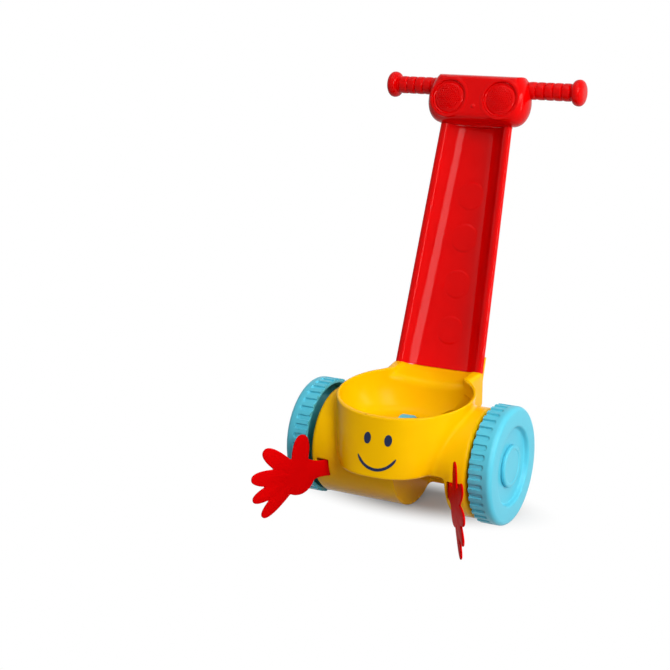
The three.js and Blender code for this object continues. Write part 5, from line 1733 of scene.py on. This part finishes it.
@dataclass
class RearCarriage:
    """The underside cover and the bracket with the two small rear wheels."""

    shell: BodyShell
    wheel_radius: float = 24.0
    wheel_width: float = 16.0
    wheel_x: float = 35.0
    axle_y: float = 104.0
    axle_z: float = -46.0
    axle_radius: float = 2.5
    hub_radius: float = 6.0
    fit: float = 0.3
    half_width: float = 34.0
    near: float = 26.0
    back: float = 118.0
    low: float = -56.0
    top: float = -8.0
    wall: float = 4.0
    cap_radius: float = 5.5
    cap_length: float = 5.0
    cover_wall: float = 3.0

    @property
    def corners(self) -> tuple[tuple[float, float, float], tuple[float, float, float]]:
        """The bracket's lowest and highest corners."""
        return (-self.half_width, self.near, self.low), (self.half_width, self.back, self.top)

    def bracket(self, p: np.ndarray) -> np.ndarray:
        """Signed distances to the bracket.

        Args:
            p: Drawn points in millimetres.

        Returns:
            Signed distances, negative inside.
        """
        shell = self.shell
        made = box_field(p, *self.corners, 4.0)
        aside = np.hypot(p[:, 1], p[:, 2] + shell.drum_drop)
        inside = box_field(
            p, (self.wall - self.half_width, self.near - 20, self.low - 20),
            (self.half_width - self.wall, self.back - self.wall, self.top - self.wall), 3.0,
        )
        inside = carve(inside, aside - shell.drum_radius - self.fit - self.wall, 2.0)
        made = carve(made, inside, 0.8)
        made = carve(made, aside - shell.drum_radius - self.fit)
        room = box_field(p, (-FAR, -FAR, -FAR), (FAR, shell.cover_y[1] + 2, shell.cover_level))
        made = carve(made, room, 0.8)
        place = (self.axle_y, self.axle_z)
        axle = rod_field(p, (-FAR, *place), (FAR, *place), self.axle_radius + self.fit)
        return carve(made, axle, 0.5)

    def cover(self, p: np.ndarray) -> np.ndarray:
        """Signed distances to the curved cover with its screw pockets.

        Args:
            p: Drawn points in millimetres.

        Returns:
            Signed distances, negative inside.
        """
        shell = self.shell
        aside = np.hypot(p[:, 1], p[:, 2] + shell.drum_drop)
        middle = shell.drum_radius - self.cover_wall / 2
        ring = np.abs(aside - middle) - self.cover_wall / 2
        zone = box_field(
            p, (shell.cover_x[0] + self.fit, shell.cover_y[0] + self.fit, -FAR),
            (shell.cover_x[1] - self.fit, shell.cover_y[1] - self.fit, shell.cover_level),
        )
        made = meet(ring, zone, 0.8)
        for x in shell.cover_screw_x:
            for turn in shell.cover_screw_turns:
                out = np.array([0.0, math.sin(turn), -math.cos(turn)])
                centre = np.array([x, 0.0, -shell.drum_drop])
                start = centre + out * (shell.drum_radius - 2.3)
                made = carve(made, rod_field(p, start, start + out * 9, 3.3), 0.4)
        return made

    def wheel(self) -> Skin:
        """The right rear wheel.

        Returns:
            The wheel's skin about its axle.
        """
        x0, x1 = self.wheel_x, self.wheel_x + self.wheel_width
        bore, r = self.axle_radius + self.fit, self.wheel_radius
        profile = rounded_corners([
            (bore, x0), (r - 2.5, x0), (r, x0 + 2.5), (r, x1 - 2.5), (r - 2.5, x1), (r - 5.5, x1),
            (r - 5.5, x0 + 3), (self.hub_radius, x0 + 3), (self.hub_radius, x1), (bore, x1), (bore, x0),
        ], 1.2)
        return weld_ends(turned(profile, 96))

    def cap(self) -> Skin:
        """The right push-on cap.

        Returns:
            The cap's skin about the axle.
        """
        start = self.wheel_x + self.wheel_width + self.fit
        end, bore, r = start + self.cap_length, self.axle_radius + self.fit, self.cap_radius
        profile = rounded_corners([
            (0, end - 1.5), (bore, end - 1.5), (bore, start), (r, start), (r, end - 1.6), (r - 1.6, end),
            (0, end),
        ], 0.7)
        return weld_ends(turned(profile, 48))

    def build(self) -> None:
        """Makes the cover, the bracket, the axle, the wheels and the caps."""
        shell = self.shell
        skin = skin_of(self.bracket, *self.corners, 1.2)
        add_piece("rear_bracket_yoke", skin, YELLOW, Body.CHASSIS, ["rear_bracket"])
        low = (shell.cover_x[0], shell.cover_y[0], -shell.drum_radius - shell.drum_drop)
        high = (shell.cover_x[1], shell.cover_y[1], -shell.drum_radius / 2)
        skin = skin_of(self.cover, low, high, 1.2)
        add_piece("cover_plate", skin, YELLOW, Body.CHASSIS, ["underside_cover"])
        shift = np.array([0.0, self.axle_y, self.axle_z])
        end = self.wheel_x + self.wheel_width + self.cap_length - 1.5
        rod = plain_rod(self.axle_radius, -end, end, 0.4, 32)
        add_piece("rear_axle_rod", rod.moved(lambda p: p + shift), STEEL, Body.CHASSIS, ["rear_axle"])
        for side in Side:
            wheel, cap = self.wheel(), self.cap()
            if side is Side.LEFT:
                wheel, cap = wheel.mirrored(), cap.mirrored()
            body = Body.REAR_RIGHT if side is Side.RIGHT else Body.REAR_LEFT
            node = f"rear_{side.word}"
            for word, skin, finish, carrier in (
                ("wheel", wheel, BLUE, body), ("cap", cap, STEEL, Body.CHASSIS),
            ):
                name = f"{node}_{word}"
                add_piece(f"{name}_turned", skin.moved(lambda p: p + shift), finish, carrier, [name])


@dataclass
class Screws:
    """Every screw, with a domed head and a cross recess."""

    slide: SlideRun
    head: Head
    shell: BodyShell
    radius: float = 1.5
    head_radius: float = 3.0
    head_height: float = 2.0
    recess: tuple[float, float, float] = (1.9, 0.38, 0.9)

    def screw(self, length: float) -> Skin:
        """A screw along z: its head's top at 0, its tip below.

        Args:
            length: From its head's top to its tip.

        Returns:
            The screw's skin.
        """
        steps = 48
        turns = 2 * math.pi * np.arange(steps) / steps
        rings = []
        for share in np.linspace(0.0, 1.0, 12):
            aside = max(0.02, self.head_radius * share)
            x, y = aside * np.cos(turns), aside * np.sin(turns)
            z = np.full(steps, -0.6 * share**3)
            arm, half, depth = self.recess
            wide, tall = np.abs(x), np.abs(y)
            cross = np.minimum(np.maximum(wide - arm, tall - half), np.maximum(tall - arm, wide - half))
            z -= depth * np.clip(0.5 - cross / 0.4, 0, 1)
            rings.append(np.column_stack([x, y, z]))
        r, low = self.radius, -self.head_height
        for aside, z in ((self.head_radius, low), (r, low), (r, 0.8 - length), (0.5, -length)):
            rings.append(np.column_stack([aside * np.cos(turns), aside * np.sin(turns), np.full(steps, z)]))
        end = (len(rings) - 1) * steps + np.arange(steps)
        faces = [tuple(range(steps)), tuple(end[::-1]), *map(tuple, strips(len(rings), steps).tolist())]
        return Skin(np.concatenate(rings), faces)

    def set_at(self, skin: Skin, top: np.ndarray, out: np.ndarray) -> Skin:
        """A screw with its head's top at a place, facing out.

        Args:
            skin: The screw along z.
            top: Where its head's top goes.
            out: Where it faces.

        Returns:
            The screw at its place.
        """
        out = out / np.linalg.norm(out)
        side = np.array([1.0, 0.0, 0.0]) if abs(out[0]) < 0.9 else np.array([0.0, 1.0, 0.0])
        side = side - out * (side @ out)
        side /= np.linalg.norm(side)
        turn = np.column_stack([side, np.cross(out, side), out])
        return skin.moved(lambda p: p @ turn.T + top)

    def build(self) -> None:
        """Makes every screw."""
        shell, head = self.shell, self.head
        for number, (x, rise) in enumerate(head.screws, 1):
            top = np.array([x, head.screw_seat + self.head_height, head.low + rise])
            length = head.screw_seat + self.head_height - head.screw_tip
            skin = self.set_at(self.screw(length), top, np.array([0.0, 1.0, 0.0])).moved(LAYOUT.leaning)
            add_piece(f"head_screw_{number}_turned", skin, STEEL, Body.CHASSIS, [f"head_screw_{number}"])
        radius, centre, _ = self.slide.arc(self.slide.foot_half_width)
        seat = radius + self.slide.wall + shell.fit + shell.collar_wall
        for number, turn in enumerate((-0.42, 0.0, 0.42), 1):
            out = np.array([math.sin(turn), math.cos(turn), 0.0])
            top = out * (seat + self.head_height) + (0, centre, shell.collar_rise / 2)
            skin = self.set_at(self.screw(7.4), top, out).moved(LAYOUT.leaning)
            add_piece(f"slide_screw_{number}_turned", skin, STEEL, Body.CHASSIS, [f"slide_screw_{number}"])
        around = {
            "cover_screw": (shell.cover_screw_x, shell.cover_screw_turns, shell.drum_radius, 5.8),
            "bracket_screw": ((-18.0, 18.0), (0.86, 1.24), shell.drum_radius + 6.3, 8.6),
        }
        for name, (places, turns, reach, length) in around.items():
            for number, (x, turn) in enumerate(((x, t) for x in places for t in turns), 1):
                out = np.array([0.0, math.sin(turn), -math.cos(turn)])
                top = out * reach + (x, 0, -shell.drum_drop)
                skin = self.set_at(self.screw(length), top, out)
                add_piece(f"{name}_{number}_turned", skin, STEEL, Body.CHASSIS, [f"{name}_{number}"])


@dataclass(frozen=True)
class Softbox:
    """A soft lamp: where it stands, how large it is and how bright its face is."""

    name: str
    azimuth: float
    elevation: float
    distance: float
    size: tuple[float, float]
    brightness: float

    def place(self, aim: Vector) -> None:
        """Adds the lamp, facing a point.

        Args:
            aim: The point that it faces.
        """
        data = bpy.data.lights.new(self.name, "AREA")
        data.shape = "RECTANGLE"
        data.size, data.size_y = self.size
        data.energy = math.pi * self.size[0] * self.size[1] * self.brightness
        a, e = math.radians(self.azimuth), math.radians(self.elevation)
        out = Vector((math.sin(a) * math.cos(e), -math.cos(a) * math.cos(e), math.sin(e)))
        lamp = bpy.data.objects.new(self.name, data)
        lamp.location = aim + out * self.distance
        lamp.rotation_mode = "QUATERNION"
        lamp.rotation_quaternion = (-out).to_track_quat("-Z", "Y")
        bpy.context.scene.collection.objects.link(lamp)


@dataclass
class Studio:
    """Floor, lamps, surroundings and camera."""

    lens: float = 79.52
    sensor: float = 36.0
    camera: tuple[float, float, float] = (731.8, -1515.9, 581.8)
    azimuth: float = math.radians(28.84)
    pitch: float = math.radians(14.71)
    clip: tuple[float, float] = (0.05, 60.0)
    lamp_aim: tuple[float, float, float] = (0.0, 0.0, 0.2)
    floor_half: float = 12.0
    floor_grey: float = 0.45
    # White share of the floor as the camera sees it: low near the walker, which paints a shadow there, and 1
    # further off; then the reach over which it rises.
    floor_white_and_painted_shadow: tuple[float, float] = (0.12, 1.0)
    painted_shadow_reach: tuple[float, float] = (0.015, 0.085)
    shade_middle: tuple[float, float, float] = (0.0, 24.0, -70.0)
    shade_scale: tuple[float, float, float] = (0.46, 1.0, 1.0)
    fill: float = 0.12
    lamps: tuple[Softbox, ...] = (
        Softbox("key", 46.0, 32.0, 1.9, (0.6, 1.5), 9.2),
        Softbox("overhead", 0.0, 80.0, 1.9, (1.4, 1.4), 1.7),
        Softbox("right", 96.0, 16.5, 1.9, (0.36, 1.5), 10.5),
        Softbox("left", -75.0, 28.0, 2.1, (0.6, 1.1), 0.3),
    )

    def seen_white(self, tree: bpy.types.NodeTree) -> bpy.types.NodeSocket:
        """A share that is 1 for what the camera sees straight, mirrored or through.

        Args:
            tree: The nodes that it joins.

        Returns:
            The share's output.
        """
        path = tree.nodes.new("ShaderNodeLightPath")
        socket = path.outputs["Is Camera Ray"]
        for word in ("Is Glossy Ray", "Is Transmission Ray"):
            largest = tree.nodes.new("ShaderNodeMath")
            largest.operation = "MAXIMUM"
            tree.links.new(socket, largest.inputs[0])
            tree.links.new(path.outputs[word], largest.inputs[1])
            socket = largest.outputs[0]
        return socket

    def surroundings(self) -> None:
        """A white room that gives a plain even fill."""
        world = bpy.data.worlds.new("studio")
        world.use_nodes = True
        tree = world.node_tree
        shade = tree.nodes["Background"]
        shade.inputs["Color"].default_value = (1, 1, 1, 1)
        strength = tree.nodes.new("ShaderNodeMapRange")
        strength.inputs["To Min"].default_value = self.fill
        strength.inputs["To Max"].default_value = 1.0
        tree.links.new(self.seen_white(tree), strength.inputs["Value"])
        tree.links.new(strength.outputs["Result"], shade.inputs["Strength"])
        bpy.context.scene.world = world

    def floor(self) -> None:
        """A floor with a painted shadow: near the walker it shows its grey matt side, with the walker's real
        soft shadow on it, and further off it is plain white.
        """
        half = self.floor_half
        mesh = bpy.data.meshes.new("floor")
        corners = [(-half, -half, 0), (half, -half, 0), (half, half, 0), (-half, half, 0)]
        mesh.from_pydata(corners, [], [(0, 1, 2, 3)])
        made = bpy.data.materials.new("floor_white_and_painted_shadow")
        made.use_nodes = True
        tree = made.node_tree
        tree.nodes.clear()
        end = tree.nodes.new("ShaderNodeOutputMaterial")
        matt = tree.nodes.new("ShaderNodeBsdfDiffuse")
        matt.inputs["Color"].default_value = (self.floor_grey, self.floor_grey, self.floor_grey, 1)
        shine = tree.nodes.new("ShaderNodeEmission")
        shine.inputs["Color"].default_value = (1, 1, 1, 1)
        place = tree.nodes.new("ShaderNodeTexCoord")
        middle = LAYOUT.row(np.array([self.shade_middle]))[0]
        away = tree.nodes.new("ShaderNodeVectorMath")
        away.operation = "MULTIPLY_ADD"
        away.inputs[1].default_value = self.shade_scale
        away.inputs[2].default_value = [-a * b for a, b in zip(middle, self.shade_scale)]
        tree.links.new(place.outputs["Object"], away.inputs[0])
        reach = tree.nodes.new("ShaderNodeVectorMath")
        reach.operation = "LENGTH"
        tree.links.new(away.outputs[0], reach.inputs[0])
        # Painted shadow: the white share is low round shade_middle and rises to 1 further off, so the grey
        # matt floor shows as a dark patch under the walker.
        spread = tree.nodes.new("ShaderNodeMapRange")
        spread.interpolation_type = "SMOOTHSTEP"
        spread.inputs["From Min"].default_value, spread.inputs["From Max"].default_value = self.painted_shadow_reach
        spread.inputs["To Min"].default_value, spread.inputs["To Max"].default_value = self.floor_white_and_painted_shadow
        tree.links.new(reach.outputs["Value"], spread.inputs["Value"])
        share = tree.nodes.new("ShaderNodeMath")
        share.operation = "MULTIPLY"
        tree.links.new(spread.outputs["Result"], share.inputs[1])
        tree.links.new(self.seen_white(tree), share.inputs[0])
        blend = tree.nodes.new("ShaderNodeMixShader")
        tree.links.new(share.outputs[0], blend.inputs[0])
        tree.links.new(matt.outputs[0], blend.inputs[1])
        tree.links.new(shine.outputs[0], blend.inputs[2])
        tree.links.new(blend.outputs[0], end.inputs["Surface"])
        mesh.materials.append(made)
        plane = bpy.data.objects.new("floor", mesh)
        bpy.context.scene.collection.objects.link(plane)

    def build(self) -> None:
        """Makes the studio."""
        bpy.context.scene.view_settings.view_transform = "Standard"
        self.surroundings()
        self.floor()
        for lamp in self.lamps:
            lamp.place(Vector(self.lamp_aim))
        data = bpy.data.cameras.new("camera")
        data.lens, data.sensor_width = self.lens, self.sensor
        data.clip_start, data.clip_end = self.clip
        camera = bpy.data.objects.new("camera", data)
        camera.location = LAYOUT.row(np.array([self.camera]))[0]
        c = math.cos(self.pitch)
        ahead = Vector((-math.sin(self.azimuth) * c, math.cos(self.azimuth) * c, -math.sin(self.pitch)))
        camera.rotation_mode = "QUATERNION"
        camera.rotation_quaternion = ahead.to_track_quat("-Z", "Y")
        bpy.context.scene.collection.objects.link(camera)
        bpy.context.scene.camera = camera


def main() -> None:
    """Builds the walker and its studio."""
    logging.basicConfig(level=logging.INFO, format="%(name)s: %(message)s")
    Studio().build()
    slide = SlideRun()
    shell = BodyShell(slide)
    head = Head(slide)
    for assembly in (
        slide, shell, FacePrint(shell), RunningGear(), OpenHands(), head, Handlebar(head),
        RearCarriage(shell), Screws(slide, head, shell),
    ):
        assembly.build()


if __name__ == "__main__":
    main()
